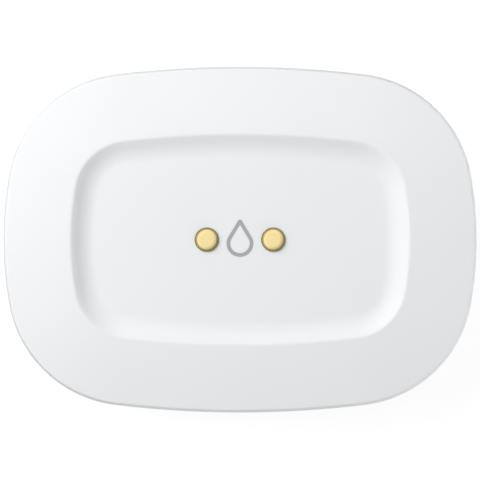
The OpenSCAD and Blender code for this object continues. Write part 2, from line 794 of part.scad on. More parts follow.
module status_led() {
    color("yellow") chip([button_x, light_y], led_size, board_z - led_h);
}

module light_pipe() {
    color("lightblue") translate([button_x, light_y, 0]) {
        rod(light_d, base_z, light_top);
        rod(light_d + 2 * light_collar, floor_z, floor_z + light_collar);
    }
}

// Drawing

upper_housing();
lower_housing();
housing_seal();
droplet_inlay();
for (s = SIDES) drip_probe(s);
drip_probe_washers();
drip_probe_nuts();
drip_spring_fingers();
for (c = CORNERS) floor_probe(c);
floor_probe_washers();
floor_probe_nuts();
spring_pin_barrels();
spring_pin_plungers();
for (c = CORNERS) foot(c);
housing_screws();
battery_door();
door_seal();
cell_pad();
coin_cell();
positive_contact();
negative_contact();
circuit_board();
radio_shield();
radio_chip();
crystal();
antenna();
temperature_chip();
reservoir_capacitor();
board_passives();
tact_switch();
switch_plunger();
pairing_button();
button_seal();
status_led();
light_pipe();
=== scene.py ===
"""Water leak sensor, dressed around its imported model. Metres, +Z up, +X along the length of the case."""

import math

import bmesh
import bpy
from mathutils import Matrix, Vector


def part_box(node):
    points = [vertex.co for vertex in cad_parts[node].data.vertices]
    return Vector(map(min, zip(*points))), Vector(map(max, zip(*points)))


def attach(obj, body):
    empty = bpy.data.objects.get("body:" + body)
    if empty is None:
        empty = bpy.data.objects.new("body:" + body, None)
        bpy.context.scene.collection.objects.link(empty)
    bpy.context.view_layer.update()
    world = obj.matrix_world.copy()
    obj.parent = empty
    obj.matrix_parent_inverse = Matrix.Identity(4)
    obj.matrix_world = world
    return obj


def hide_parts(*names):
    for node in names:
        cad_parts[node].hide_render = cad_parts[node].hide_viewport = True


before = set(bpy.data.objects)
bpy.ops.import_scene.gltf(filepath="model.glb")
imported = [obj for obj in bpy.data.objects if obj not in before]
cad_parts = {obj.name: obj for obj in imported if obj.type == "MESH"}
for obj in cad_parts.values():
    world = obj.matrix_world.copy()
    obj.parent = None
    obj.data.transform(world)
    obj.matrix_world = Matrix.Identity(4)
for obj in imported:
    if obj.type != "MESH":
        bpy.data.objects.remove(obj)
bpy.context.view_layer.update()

# Sizes in millimetres, as the model has them
MM = 0.001
BODY_LENGTH, BODY_WIDTH, BODY_HEIGHT = 55.0, 40.2, 17.0
LONG_SIDE_RADIUS, SHORT_SIDE_RADIUS, CORNER_RADIUS = 120.0, 43.0, 14.3
DISH_DEPTH, DISH_WALL_SLOPE, DISH_WALL_RUN, LIP_RADIUS = 1.35, 40.0, 0.8, 0.5
RIM_WIDTH, RIM_FALL, RIM_SLOPE, RIM_WALL = 7.75, 5.0, 9.0, 1.9
SHOULDER_RADIUS, SIDE_SLOPE, CROWN = 0.2, 85.0, 1.2
TOP_WALL, INNER_CORNER, SHELL_WALL, EDGE_BEVEL = 1.6, 1.6, 2.2, 0.25
FLOOR_THICKNESS, BELLY_LEAN, BASE_EDGE_RADIUS, FLOOR_FILLET = 1.6, 41.0, 1.2, 1.0
GROOVE_OUT, GROOVE_IN, GROOVE_DEPTH, SEAL_HEIGHT = 0.75, 1.55, 1.0, 0.6
DROPLET_LINE, DROPLET_TIP = 0.42, 0.25
PROBE_SHANK, NUT_ACROSS, FINGER, STRIP = 1.6, 3.2, 2.8, 0.25
PIN_GROOVE_Z, PIN_GROOVE_HALF, PIN_GROOVE_DEPTH, NUT_BREAK, NUT_FACE = 0.6, 0.1, 0.07, 0.15, 0.97
SCREW_D, SCREW_HEAD, BOSS_D = 2.0, 1.3, 5.2
THREAD_PITCH, THREAD_DEPTH, THREAD_ROWS, THREAD_AROUND = 0.8, 0.22, 8, 36
RECESS_HALF_LENGTH, RECESS_HALF_WIDTH, RECESS_DEPTH = 1.08, 0.3, 0.65
SEAT_ROLL, MOUTH_ROLL, LIGHT_ROLL, TAB_ROLL = 0.2, 0.25, 0.1, 0.15
CAN_RIDGE, CAN_RIDGE_IN, CAP_IN, CRIMP_DROP, GASKET_DROP, FOAM_BULGE = 0.06, 0.9, 1.8, 0.6, 0.2, 0.22
DOOR_LEDGE, COLLAR_WALL, DOOR_SEAL, TAB_WIDTH, TAB_THICKNESS, NAIL_ROOM = 0.85, 1.0, 1.0, 4.0, 0.6, 1.2
CONTACT_W, CONTACT_BOW, CONTACT_LEAF = 4.0, 0.8, 3.0
BUTTON_R, FLANGE, STEM_R, LIGHT_R, LIGHT_COLLAR = 2.45, 0.7, 1.4, 0.9, 0.5
SHIELD_SHEET, VENT_R, VENT_PITCH, SWITCH_ROOF = 0.2, 0.3, 1.6, 0.25
CHIP_MARK_DEPTH, CRYSTAL_TRAY, CRYSTAL_LID_IN = 0.05, 0.45, 0.18
PASSIVE, PASSIVE_PITCH, PASSIVE_CAP = Vector((0.8, 1.6, 0.8)), 1.8, 0.35
PASSIVE_ROWS = [((-9.5, -7.0), 5), ((-9.5, -9.5), 5), ((11.0, 1.5), 3)]
FIT_GAP, SLIDE_GAP, DOOR_GAP, HAIR = 0.05, 0.1, 0.15, 0.01
OUTER_FLAT, INNER_FLAT = 0.6, 0.5

# Corners of a probe's head from its side to its face: how far in, how far under the face, and the roll
PROBE_BEVELS = ((0, 0.34, 0.06), (0.13, 0.17, 0.1), (0.3, 0.06, 0.1), (0.55, 0, 0.6))

# Points around turned pieces, and around the widest and the smallest of them
AROUND, WIDE_AROUND, SMALL_AROUND = 96, 128, 64


def corners(node):
    """The lowest and highest corner of a node of the model, in millimetres."""
    low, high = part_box(node)
    return low / MM, high / MM


def middle(node):
    """The middle of a node of the model, in millimetres."""
    low, high = corners(node)
    return (low + high) / 2


BASE_Z, PARTING = (v.z for v in corners("lower_housing"))
FLOOR_Z = BASE_Z + FLOOR_THICKNESS
DISH_Z = BODY_HEIGHT - DISH_DEPTH
DISH_CEILING = DISH_Z - TOP_WALL
RIM_CEILING = BODY_HEIGHT - RIM_WALL
BOARD_Z, BOARD_TOP = (v.z for v in corners("circuit_board"))
CORNERS = ("front_left", "front_right", "back_left", "back_right")
FEET = [middle("foot_" + c) for c in CORNERS]
FLOOR_PROBES = [middle("floor_probe_" + c) for c in CORNERS]
DRIP_PROBES = [middle("drip_probe_" + s) for s in ("left", "right")]
CELL, BUTTON, LIGHT = middle("coin_cell"), middle("pairing_button"), middle("light_pipe")
CELL_R, CELL_Z, CELL_TOP = corners("coin_cell")[1].x - CELL.x, *(v.z for v in corners("coin_cell"))
DOOR_R, LEDGE_Z = corners("battery_door")[1].x - CELL.x, corners("battery_door")[1].z
TAB_REACH = CELL.x - corners("battery_door")[0].x - DOOR_R
MOUTH_R, RECESS_R = DOOR_R + DOOR_GAP, CELL_R - DOOR_LEDGE
DOOR_GROOVE_R = MOUTH_R - DOOR_SEAL - FIT_GAP
COLLAR_R, COLLAR_Z = MOUTH_R + COLLAR_WALL, 2 * CELL_TOP - BOARD_Z
FOOT_R, FOOT_TOP = corners("foot_front_left")[1].x - FEET[0].x, corners("foot_front_left")[1].z
HEAD_SEAT = corners("housing_screws")[0].z + SCREW_HEAD
WASHER_R = corners("drip_probe_washers")[1].y
FLANGE_Z = FLOOR_Z + FIT_GAP
BUTTON_GROOVE = (FLANGE_Z - corners("pairing_button")[0].z) / 4


# Nodes, trees and meshes

def add(tree, kind, inputs=None, **settings):
    """Adds a node. Settings are its own properties, and inputs are values or sockets by name or number."""
    node = tree.nodes.new(kind)
    for key, value in settings.items():
        setattr(node, key, value)
    for key, value in (inputs or {}).items():
        if isinstance(value, bpy.types.NodeSocket):
            tree.links.new(value, node.inputs[key])
        else:
            node.inputs[key].default_value = value
    return node


def srgb(code):
    """Linear RGBA of an sRGB hex colour."""
    parts = [int(code[i:i + 2], 16) / 255 for i in (0, 2, 4)]
    return [p / 12.92 if p <= 0.04045 else ((p + 0.055) / 1.055) ** 2.4 for p in parts] + [1.0]


def placed(name, mesh):
    """A new object at the origin."""
    piece = bpy.data.objects.new(name, mesh)
    bpy.context.scene.collection.objects.link(piece)
    return piece


def from_parts(name, points, faces):
    """A mesh object from points in millimetres and faces, with its faces turned outwards."""
    mesh = bpy.data.meshes.new(name)
    mesh.from_pydata([Vector(p) * MM for p in points], [], faces)
    form = bmesh.new()
    form.from_mesh(mesh)
    bmesh.ops.recalc_face_normals(form, faces=form.faces)
    form.to_mesh(mesh)
    form.free()
    return placed(name, mesh)


def settled(piece):
    """Turns a piece's modifiers into its plain mesh."""
    graph = bpy.context.evaluated_depsgraph_get()
    graph.update()
    shaped = piece.evaluated_get(graph)
    mesh = bpy.data.meshes.new_from_object(shaped, preserve_all_data_layers=True, depsgraph=graph)
    piece.modifiers.clear()
    piece.data = mesh
    mesh.name = piece.name
    return piece


def group_inputs(tree, sockets):
    """Gives a tree its named inputs and one mesh output, and returns the group's output sockets by name."""
    for name, kind in sockets.items():
        tree.interface.new_socket(name, in_out="INPUT", socket_type=kind)
    tree.interface.new_socket("Mesh", in_out="OUTPUT", socket_type="NodeSocketGeometry")
    return add(tree, "NodeGroupInput").outputs


def grown(name, tree, values):
    """A piece made by a tree from named values."""
    piece = placed(name, bpy.data.meshes.new(name))
    modifier = piece.modifiers.new("grown", "NODES")
    modifier.node_group = tree
    for item in tree.interface.items_tree:
        if item.in_out == "INPUT":
            modifier[item.identifier] = values[item.name]
    return settled(piece)


def scrap(*pieces):
    """Removes pieces that only shaped others."""
    for piece in pieces:
        bpy.data.objects.remove(piece)


# Profiles of turned pieces, as [radius, height] in millimetres

def rounded(profile, steps=6):
    """A profile from (radius, height, roll) corners, each rolled over by its own radius."""
    points = []
    for i, (r, z, roll) in enumerate(profile):
        here = Vector((r, z))
        if not roll or i in (0, len(profile) - 1):
            points.append(here)
            continue
        to_last = (Vector(profile[i - 1][:2]) - here).normalized()
        to_next = (Vector(profile[i + 1][:2]) - here).normalized()
        half = to_last.angle(to_next) / 2
        centre = here + (to_last + to_next).normalized() * roll / math.sin(half)
        start = here + to_last * roll / math.tan(half) - centre
        end = here + to_next * roll / math.tan(half) - centre
        turn = start.angle_signed(end)
        for k in range(steps + 1):
            angle = -turn * k / steps
            points.append(centre + Vector((start.x * math.cos(angle) - start.y * math.sin(angle),
                                           start.x * math.sin(angle) + start.y * math.cos(angle))))
    return points


def turned(name, profile, around=AROUND, centre=(0, 0)):
    """A lathe-turned solid from a profile that starts and ends on its axis."""
    points, rings = [], []
    for r, z in profile:
        count = 1 if r < 1e-6 else around
        rings.append(range(len(points), len(points) + count))
        for i in range(count):
            angle = 2 * math.pi * i / around
            points.append((centre[0] + r * math.cos(angle), centre[1] + r * math.sin(angle), z))
    faces = []
    for a, b in zip(rings, rings[1:]):
        for i in range(around if len(a) + len(b) > 2 else 0):
            loop = [a[i % len(a)], a[(i + 1) % len(a)], b[(i + 1) % len(b)], b[i % len(b)]]
            faces.append(list(dict.fromkeys(loop)))
    return from_parts(name, points, faces)


def quads(rows, columns, ring=False):
    """Faces over rows of points, each row closed on itself. A ring's last row meets its first."""
    return [(k * columns + i, k * columns + (i + 1) % columns,
             (k + 1) % rows * columns + (i + 1) % columns, (k + 1) % rows * columns + i)
            for k in range(rows if ring else rows - 1) for i in range(columns)]


def hoop(name, loop, centre=(0, 0), around=AROUND):
    """A turned ring from a closed loop of [radius, height]."""
    turns = [2 * math.pi * i / around for i in range(around)]
    points = [(centre[0] + r * math.cos(a), centre[1] + r * math.sin(a), z) for r, z in loop for a in turns]
    return from_parts(name, points, quads(len(loop), around, ring=True))


def quarter(steps):
    """Angles from 0 to a quarter turn, in equal steps."""
    return [math.radians(90 * k / steps) for k in range(steps + 1)]


def edged(r_in, r_out, z0, z1, roll):
    """A closed loop around a ring's section, with rolled edges."""
    half = (z0 + z1) / 2
    return rounded([(r_in, half, 0), (r_in, z0, roll), (r_out, z0, roll), (r_out, z1, roll), (r_in, z1, roll),
                    (r_in, half, 0)])[:-1]


def bore(name, steps, z0, roll=0.0, mouth=None, centre=(0, 0)):
    """A cutter for a stepped round hole, as the (radius, height) where each step ends from the bottom up. Its
    first edge may be rolled over at a mouth that faces down, from a hair under it so that it cuts cleanly."""
    r = steps[0][0]
    profile = [Vector((0, z0)), Vector((r + roll, z0))]
    if mouth is not None:
        profile += [Vector((r + roll - roll * math.sin(a), mouth - HAIR + roll - roll * math.cos(a)))
                    for a in quarter(6)]
    for (r, z), (after, _) in zip(steps, steps[1:] + [(0, 0)]):
        profile += [Vector((r, z)), Vector((after, z))]
    return turned(name, profile, AROUND, centre)


def loft(outlines):
    """Points and faces of a solid through outlines of equal count, each a list of points in millimetres."""
    count = len(outlines[0])
    points = [p for loop in outlines for p in loop]
    return points, [range(count), range(len(points) - count, len(points)), *quads(len(outlines), count)]


def joined(name, *solids):
    """One piece from several solids, each given as points and faces."""
    points, faces = [], []
    for more_points, more_faces in solids:
        faces += [[i + len(points) for i in face] for face in more_faces]
        points += more_points
    return from_parts(name, points, faces)


def box_outline(place, length, width, corner, inset, z):
    """A rectangle with rounded corners, drawn in by an inset."""
    r = max(corner - inset, 0.02)
    x, y = length / 2 - inset - r, width / 2 - inset - r
    return [(place[0] + sx * x + r * math.cos(math.radians(start + 18 * k)),
             place[1] + sy * y + r * math.sin(math.radians(start + 18 * k)), z)
            for sx, sy, start in ((1, 1, 0), (-1, 1, 90), (-1, -1, 180), (1, -1, 270)) for k in range(6)]


def block(low, high, corner, foot, top):
    """A box with rounded corners, its foot and its top edge rolled over."""
    place, size = (low + high) / 2, high - low
    rolls = quarter(4)
    rows = [(foot * (1 - math.sin(a)), low.z + foot * (1 - math.cos(a)))
            for a in (rolls if foot else rolls[-1:])]
    rows += [(top * (1 - math.cos(a)), high.z - top * (1 - math.sin(a)))
             for a in (rolls if top else rolls[:1])]
    return loft([box_outline(place, size.x, size.y, corner, inset, z) for inset, z in rows])


def bent_strip(path, bend, thickness, width, place, flip=1):
    """A strip of sheet along a path of [x, z], bent to a radius at its corners and broken at its edges."""
    line = rounded([(x, z, bend if 0 < i < len(path) - 1 else 0) for i, (x, z) in enumerate(path)])
    t, w, c = thickness / 2, width / 2, thickness / 5
    section = [(t - c, w), (t, w - c), (t, c - w), (t - c, -w),
               (c - t, -w), (-t, c - w), (-t, w - c), (c - t, w)]
    rows = []
    for i, here in enumerate(line):
        way = (line[min(i + 1, len(line) - 1)] - line[max(i - 1, 0)]).normalized()
        rows.append([(place[0] + flip * (here.x - way.y * u), place[1] + v, place[2] + here.y + way.x * u)
                     for u, v in section])
    return loft(rows)


def carved(piece, unions=(), cuts=()):
    """Adds solids to a piece, then takes others away from it."""
    for operation, solids in (("UNION", unions), ("DIFFERENCE", cuts)):
        for solid in solids:
            step = piece.modifiers.new(operation, "BOOLEAN")
            step.operation, step.object, step.solver = operation, solid, "MANIFOLD"
    settled(piece)
    scrap(*unions, *cuts)
    return piece


def faced(piece, finish, chosen):
    """Gives another finish to the faces that a test picks by their middle, in millimetres, and their normal."""
    piece.data.materials.append(finish)
    for face in piece.data.polygons:
        if chosen(face.center / MM, face.normal):
            face.material_index = len(piece.data.materials) - 1


def fitted(piece, body, slot, *nodes, angle=35):
    """Shades a piece smooth up to its crisp edges, sets it on its body and hides the nodes it stands for. Its
    slot is not used.
    """
    piece.data.shade_smooth()
    piece.data.set_sharp_from_angle(angle=math.radians(angle))
    flats = piece.modifiers.new("flats", "WEIGHTED_NORMAL")
    flats.keep_sharp = True
    settled(piece)
    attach(piece, body)
    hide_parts(*nodes)
    return piece


# Outline and sections of the case

def where_circles_meet(a, ra, b, rb):
    """Where two circles meet, on the right of the line from a to b."""
    gap = (b - a).length
    e = (b - a) / gap
    along = (ra * ra - rb * rb + gap * gap) / (2 * gap)
    return a + along * e + math.sqrt(ra * ra - along * along) * Vector((e.y, -e.x))


LONG_CENTRE = Vector((0, BODY_WIDTH / 2 - LONG_SIDE_RADIUS))
SHORT_CENTRE = Vector((BODY_LENGTH / 2 - SHORT_SIDE_RADIUS, 0))
CORNER_CENTRE = where_circles_meet(LONG_CENTRE, LONG_SIDE_RADIUS - CORNER_RADIUS,
                                   SHORT_CENTRE, SHORT_SIDE_RADIUS - CORNER_RADIUS)
LONG_END = math.atan2(*(CORNER_CENTRE - LONG_CENTRE).yx)
SHORT_END = math.atan2(*(CORNER_CENTRE - SHORT_CENTRE).yx)
SIDE_STEPS, CORNER_STEPS = 12, 32


def case_outline():
    """Points of the outline and the way out of the case at each, counter-clockwise from +X."""
    quarter = [SHORT_END * i / SIDE_STEPS for i in range(SIDE_STEPS)]
    quarter += [SHORT_END + (LONG_END - SHORT_END) * i / CORNER_STEPS for i in range(CORNER_STEPS)]
    quarter += [LONG_END + (math.pi / 2 - LONG_END) * i / SIDE_STEPS for i in range(SIDE_STEPS)]
    found = []
    for angle in quarter + [math.pi / 2]:
        out = Vector((math.cos(angle), math.sin(angle)))
        if angle < SHORT_END:
            found.append((SHORT_CENTRE + SHORT_SIDE_RADIUS * out, out))
        elif angle < LONG_END:
            found.append((CORNER_CENTRE + CORNER_RADIUS * out, out))
        else:
            found.append((LONG_CENTRE + LONG_SIDE_RADIUS * out, out))
    turn = Vector((-1, 1))
    top = found[:-1] + [(p * turn, n * turn) for p, n in found[:0:-1]]
    return top + [(-p, -n) for p, n in top]


def arcs(start, slope, bends):
    """A chain of tangent arcs as [inset, height]. A bend is (radius, end slope, steps), hollow if negative."""
    def facing(a):
        return Vector((math.sin(math.radians(a)), math.cos(math.radians(a))))

    points, here = [], Vector(start)
    for radius, end, steps in bends:
        points += [here + radius * (facing(slope + (end - slope) * k / steps) - facing(slope))
                   for k in range(steps)]
        here = here + radius * (facing(end) - facing(slope))
        slope = end
    return points + [here]


def crown_share(inset, z):
    """How much of the crown's drop a point of the upper section takes."""
    if z <= PARTING + 1e-6:
        return 0.0
    if inset > RIM_WIDTH:
        return max(z - DISH_Z, 0) / DISH_DEPTH
    return (z - PARTING) / (BODY_HEIGHT - PARTING)


def case_skin_tree():
    """Carries a section round an outline, as a tube that is open at the section's two ends."""
    tree = bpy.data.node_groups.new("case_skin", "GeometryNodeTree")
    given = group_inputs(tree, {"Outline": "NodeSocketObject", "Section": "NodeSocketObject",
                                "Around": "NodeSocketInt", "Along": "NodeSocketInt", "Crown": "NodeSocketFloat",
                                "Width": "NodeSocketFloat", "Finish": "NodeSocketMaterial"})
    outline = add(tree, "GeometryNodeObjectInfo", {"Object": given["Outline"]}).outputs["Geometry"]
    section = add(tree, "GeometryNodeObjectInfo", {"Object": given["Section"]}).outputs["Geometry"]
    rows = add(tree, "ShaderNodeMath", {0: given["Along"], 1: 1.0}, operation="SUBTRACT").outputs[0]
    columns = add(tree, "ShaderNodeMath", {0: given["Around"], 1: 1.0}).outputs[0]
    grid = add(tree, "GeometryNodeMeshGrid", {"Size X": given["Around"], "Size Y": rows,
                                              "Vertices X": columns, "Vertices Y": given["Along"]})
    spot = add(tree, "ShaderNodeSeparateXYZ", {0: add(tree, "GeometryNodeInputPosition").outputs[0]})
    column = add(tree, "ShaderNodeMath", {0: given["Around"], 1: 0.5, 2: spot.outputs["X"]},
                 operation="MULTIPLY_ADD")
    column = add(tree, "ShaderNodeMath", {0: column.outputs[0]}, operation="ROUND")
    column = add(tree, "ShaderNodeMath", {0: column.outputs[0], 1: given["Around"]},
                 operation="MODULO").outputs[0]
    row = add(tree, "ShaderNodeMath", {0: rows, 1: 0.5, 2: spot.outputs["Y"]}, operation="MULTIPLY_ADD")
    row = add(tree, "ShaderNodeMath", {0: row.outputs[0]}, operation="ROUND").outputs[0]
    place = add(tree, "GeometryNodeInputPosition").outputs[0]
    way_out = add(tree, "GeometryNodeInputNamedAttribute", {"Name": "way_out"},
                  data_type="FLOAT_VECTOR").outputs[0]
    share = add(tree, "GeometryNodeInputNamedAttribute", {"Name": "crown_share"}, data_type="FLOAT").outputs[0]
    at = {key: add(tree, "GeometryNodeSampleIndex", {"Geometry": source, "Value": value, "Index": index},
                   data_type=kind, domain="POINT").outputs[0]
          for key, source, value, index, kind in (("place", outline, place, column, "FLOAT_VECTOR"),
                                                  ("way_out", outline, way_out, column, "FLOAT_VECTOR"),
                                                  ("section", section, place, row, "FLOAT_VECTOR"),
                                                  ("share", section, share, row, "FLOAT"))}
    section_at = add(tree, "ShaderNodeSeparateXYZ", {0: at["section"]}).outputs
    inward = add(tree, "ShaderNodeVectorMath", {0: at["way_out"], "Scale": section_at["X"]}, operation="SCALE")
    flat = add(tree, "ShaderNodeVectorMath", {0: at["place"], 1: inward.outputs[0]}, operation="SUBTRACT")
    flat_at = add(tree, "ShaderNodeSeparateXYZ", {0: flat.outputs[0]}).outputs
    across = add(tree, "ShaderNodeMath", {0: flat_at["Y"], 1: given["Width"]}, operation="DIVIDE").outputs[0]
    across = add(tree, "ShaderNodeMath", {0: across, 1: 2.0}, operation="MULTIPLY").outputs[0]
    across = add(tree, "ShaderNodeMath", {0: across, 1: across}, operation="MULTIPLY").outputs[0]
    drop = add(tree, "ShaderNodeMath", {0: across, 1: at["share"]}, operation="MULTIPLY").outputs[0]
    drop = add(tree, "ShaderNodeMath", {0: drop, 1: given["Crown"]}, operation="MULTIPLY").outputs[0]
    height = add(tree, "ShaderNodeMath", {0: section_at["Z"], 1: drop}, operation="SUBTRACT").outputs[0]
    final = add(tree, "ShaderNodeCombineXYZ", {"X": flat_at["X"], "Y": flat_at["Y"], "Z": height}).outputs[0]
    skin = add(tree, "GeometryNodeSetPosition", {"Geometry": grid.outputs["Mesh"], "Position": final})
    skin = add(tree, "GeometryNodeMergeByDistance", {"Geometry": skin.outputs[0], "Distance": 1e-7}).outputs[0]
    skin = add(tree, "GeometryNodeRealizeInstances", {"Geometry": skin}).outputs[0]
    skin = add(tree, "GeometryNodeSetMaterial", {"Geometry": skin, "Material": given["Finish"]}).outputs[0]
    add(tree, "NodeGroupOutput", {"Mesh": skin})
    return tree


def case_shell(name, section, crown, finish):
    """A shell of the case: its section carried round the outline, with both ends closed by a flat face."""
    outline = case_outline()
    mesh = bpy.data.meshes.new("outline")
    mesh.from_pydata([(p.x * MM, p.y * MM, 0) for p, _ in outline], [], [])
    mesh.attributes.new("way_out", "FLOAT_VECTOR", "POINT").data.foreach_set(
        "vector", [c for _, n in outline for c in (n.x, n.y, 0)])
    path = placed("outline", mesh)
    mesh = bpy.data.meshes.new("section")
    mesh.from_pydata([(p[0] * MM, 0, p[1] * MM) for p in section], [], [])
    mesh.attributes.new("crown_share", "FLOAT", "POINT").data.foreach_set(
        "value", [crown_share(*p) if crown else 0.0 for p in section])
    profile = placed("section", mesh)
    shell = grown(name, CASE_SKIN, {"Outline": path, "Section": profile, "Around": len(outline),
                                    "Along": len(section), "Crown": crown * MM, "Width": BODY_WIDTH * MM,
                                    "Finish": finish})
    scrap(path, profile)
    form = bmesh.new()
    form.from_mesh(shell.data)
    bmesh.ops.holes_fill(form, edges=form.edges, sides=0)
    bmesh.ops.recalc_face_normals(form, faces=form.faces)
    form.to_mesh(shell.data)
    form.free()
    return shell


def places_tree():
    """Sets a shape at each of several places."""
    tree = bpy.data.node_groups.new("set_at_places", "GeometryNodeTree")
    given = group_inputs(tree, {"Shape": "NodeSocketObject", "Places": "NodeSocketObject",
                                "Finish": "NodeSocketMaterial"})
    shape = add(tree, "GeometryNodeObjectInfo", {"Object": given["Shape"]}).outputs["Geometry"]
    places = add(tree, "GeometryNodeObjectInfo", {"Object": given["Places"]}).outputs["Geometry"]
    copies = add(tree, "GeometryNodeInstanceOnPoints", {"Points": places, "Instance": shape}).outputs[0]
    copies = add(tree, "GeometryNodeRealizeInstances", {"Geometry": copies}).outputs[0]
    copies = add(tree, "GeometryNodeSetMaterial", {"Geometry": copies, "Material": given["Finish"]}).outputs[0]
    add(tree, "NodeGroupOutput", {"Mesh": copies})
    return tree


def repeated(name, shape, places, finish=None):
    """One piece from a shape, set at places in millimetres. The shape itself is used up."""
    mesh = bpy.data.meshes.new("places")
    mesh.from_pydata([(p[0] * MM, p[1] * MM, 0) for p in places], [], [])
    spots = placed("places", mesh)
    piece = grown(name, SET_AT_PLACES, {"Shape": shape, "Places": spots, "Finish": finish})
    scrap(shape, spots)
    return piece


CASE_SKIN, SET_AT_PLACES = case_skin_tree(), places_tree()


# Finishes

def surface(name, color, roughness, **sockets):
    """A material with one Principled shader. Returns it with its tree, the shader and Object coordinates."""
    material = bpy.data.materials.new(name)
    material.use_nodes = True
    tree = material.node_tree
    shader = tree.nodes["Principled BSDF"]
    shader.inputs["Base Color"].default_value = srgb(color)
    shader.inputs["Roughness"].default_value = roughness
    for key, value in sockets.items():
        shader.inputs[key.replace("_", " ")].default_value = value
    spot = add(tree, "ShaderNodeTexCoord").outputs["Object"]
    return material, tree, shader, spot


# Most of a noise lies in this span of a Map Range node
NOISE_SPAN = {1: 0.3, 2: 0.7}


def patchy(tree, spot, size, detail, light, shade):
    """Noise with patches of a size in millimetres, and a colour that runs from light to shade with it."""
    noise = add(tree, "ShaderNodeTexNoise", {"Vector": spot, "Scale": 1 / (size * MM), "Detail": detail})
    tint = add(tree, "ShaderNodeMix", {0: noise.outputs[0], 6: srgb(light), 7: srgb(shade)}, data_type="RGBA")
    return noise.outputs[0], tint.outputs[2]


def fed(tree, shader, sockets):
    """Links outputs to a shader's sockets by name."""
    for key, output in sockets.items():
        tree.links.new(output, shader.inputs[key])


def moulded_plastic(name, light, shade, roughness, grain):
    """Injection-moulded plastic from a fine spark-eroded tool: an even satin with a soft, broad gloss. The
    tool's pits are about 0.03 mm, drawn coarser so that they show in a close view."""
    material, tree, shader, spot = surface(name, light, roughness, IOR=1.53)
    _, tint = patchy(tree, spot, 9, 3.0, light, shade)
    pits = add(tree, "ShaderNodeTexNoise",
               {"Vector": spot, "Scale": 1 / (grain * MM), "Detail": 2.0}).outputs[0]
    gloss = add(tree, "ShaderNodeMapRange", {0: pits, **NOISE_SPAN, 3: roughness - 0.04, 4: roughness + 0.04})
    bump = add(tree, "ShaderNodeBump", {"Strength": 0.25, "Distance": 0.004 * MM, "Height": pits})
    fed(tree, shader, {"Base Color": tint, "Roughness": gloss.outputs[0], "Normal": bump.outputs[0]})
    return material


def turned_gold():
    """Brass turned on a lathe and gold plated: a pale, bright face, and olive bevels around it, darkest at the
    outer edge. The olive is painted shade: the colour darkens with the tilt of the face, in place of the darker
    surroundings that the bevels would reflect. The plating's patches are about 0.7 mm."""
    material, tree, shader, spot = surface("turned_gold_plated_brass", "F9E3A7", 0.24, Metallic=1.0)
    normal = add(tree, "ShaderNodeNewGeometry").outputs["True Normal"]
    upright = add(tree, "ShaderNodeSeparateXYZ", {0: normal}).outputs["Z"]
    lean = add(tree, "ShaderNodeMath", {0: upright}, operation="ABSOLUTE").outputs[0]
    # Painted shade: this ramp darkens the gold as the face tilts from level, standing in for darker reflections
    # on the bevels
    cut = add(tree, "ShaderNodeValToRGB", {0: lean})
    stops = cut.color_ramp.elements
    for place in (0.62, 0.85, 0.94):
        stops.new(place)
    for stop, code in zip(stops, ("6E5F3C", "897A4A", "BDB074", "F9E3A9", "F9E3A9")):
        stop.color = srgb(code)
    worn = add(tree, "ShaderNodeTexNoise", {"Vector": spot, "Scale": 1 / (0.7 * MM), "Detail": 3.0}).outputs[0]
    patch = add(tree, "ShaderNodeMapRange", {0: worn, **NOISE_SPAN, 3: 0.0, 4: 0.12}).outputs[0]
    tint = add(tree, "ShaderNodeMix", {0: patch, 6: cut.outputs[0], 7: srgb("D9B45E")}, data_type="RGBA")
    gloss = add(tree, "ShaderNodeMapRange", {0: lean, 1: 0.9, 2: 0.98, 3: 0.42, 4: 0.24})
    fed(tree, shader, {"Base Color": tint.outputs[2], "Roughness": gloss.outputs[0]})
    return material


def plated_sheet(name, light, shade, roughness):
    """Rolled or pressed metal with a thin plating: bright, with the faint streaks of its rolling along X and a
    few duller patches. The streaks are about 0.05 mm apart, drawn at 0.15 mm."""
    material, tree, shader, spot = surface(name, light, roughness, Metallic=1.0)
    _, tint = patchy(tree, spot, 2.5, 4.0, light, shade)
    along = add(tree, "ShaderNodeMapping", {"Vector": spot, "Scale": (0.06, 1.0, 1.0)}).outputs[0]
    streaks = add(tree, "ShaderNodeTexNoise", {"Vector": along, "Scale": 1 / (0.15 * MM), "Detail": 2.0})
    gloss = add(tree, "ShaderNodeMapRange", {0: streaks.outputs[0], **NOISE_SPAN, 3: roughness - 0.06,
                                             4: roughness + 0.08})
    bump = add(tree, "ShaderNodeBump", {"Strength": 0.15, "Distance": 0.003 * MM, "Height": streaks.outputs[0]})
    fed(tree, shader, {"Base Color": tint, "Roughness": gloss.outputs[0], "Normal": bump.outputs[0]})
    return material


def pad_print():
    """Grey ink pad printed and cured on the plastic: flat and matt, with a slightly uneven density."""
    material, tree, shader, spot = surface("pad_printed_grey_ink", "AAACAE", 0.55, IOR=1.5)
    _, tint = patchy(tree, spot, 0.3, 3.0, "A6A8AA", "AEB0B2")
    fed(tree, shader, {"Base Color": tint})
    return material


def moulded_rubber(name, light, shade, roughness, ior):
    """Compression-moulded rubber: a soft, dull skin that picks up dust."""
    material, tree, shader, spot = surface(name, light, roughness, IOR=ior)
    cloud, tint = patchy(tree, spot, 1.5, 4.0, light, shade)
    bump = add(tree, "ShaderNodeBump", {"Strength": 0.3, "Distance": 0.01 * MM, "Height": cloud})
    fed(tree, shader, {"Base Color": tint, "Normal": bump.outputs[0]})
    return material


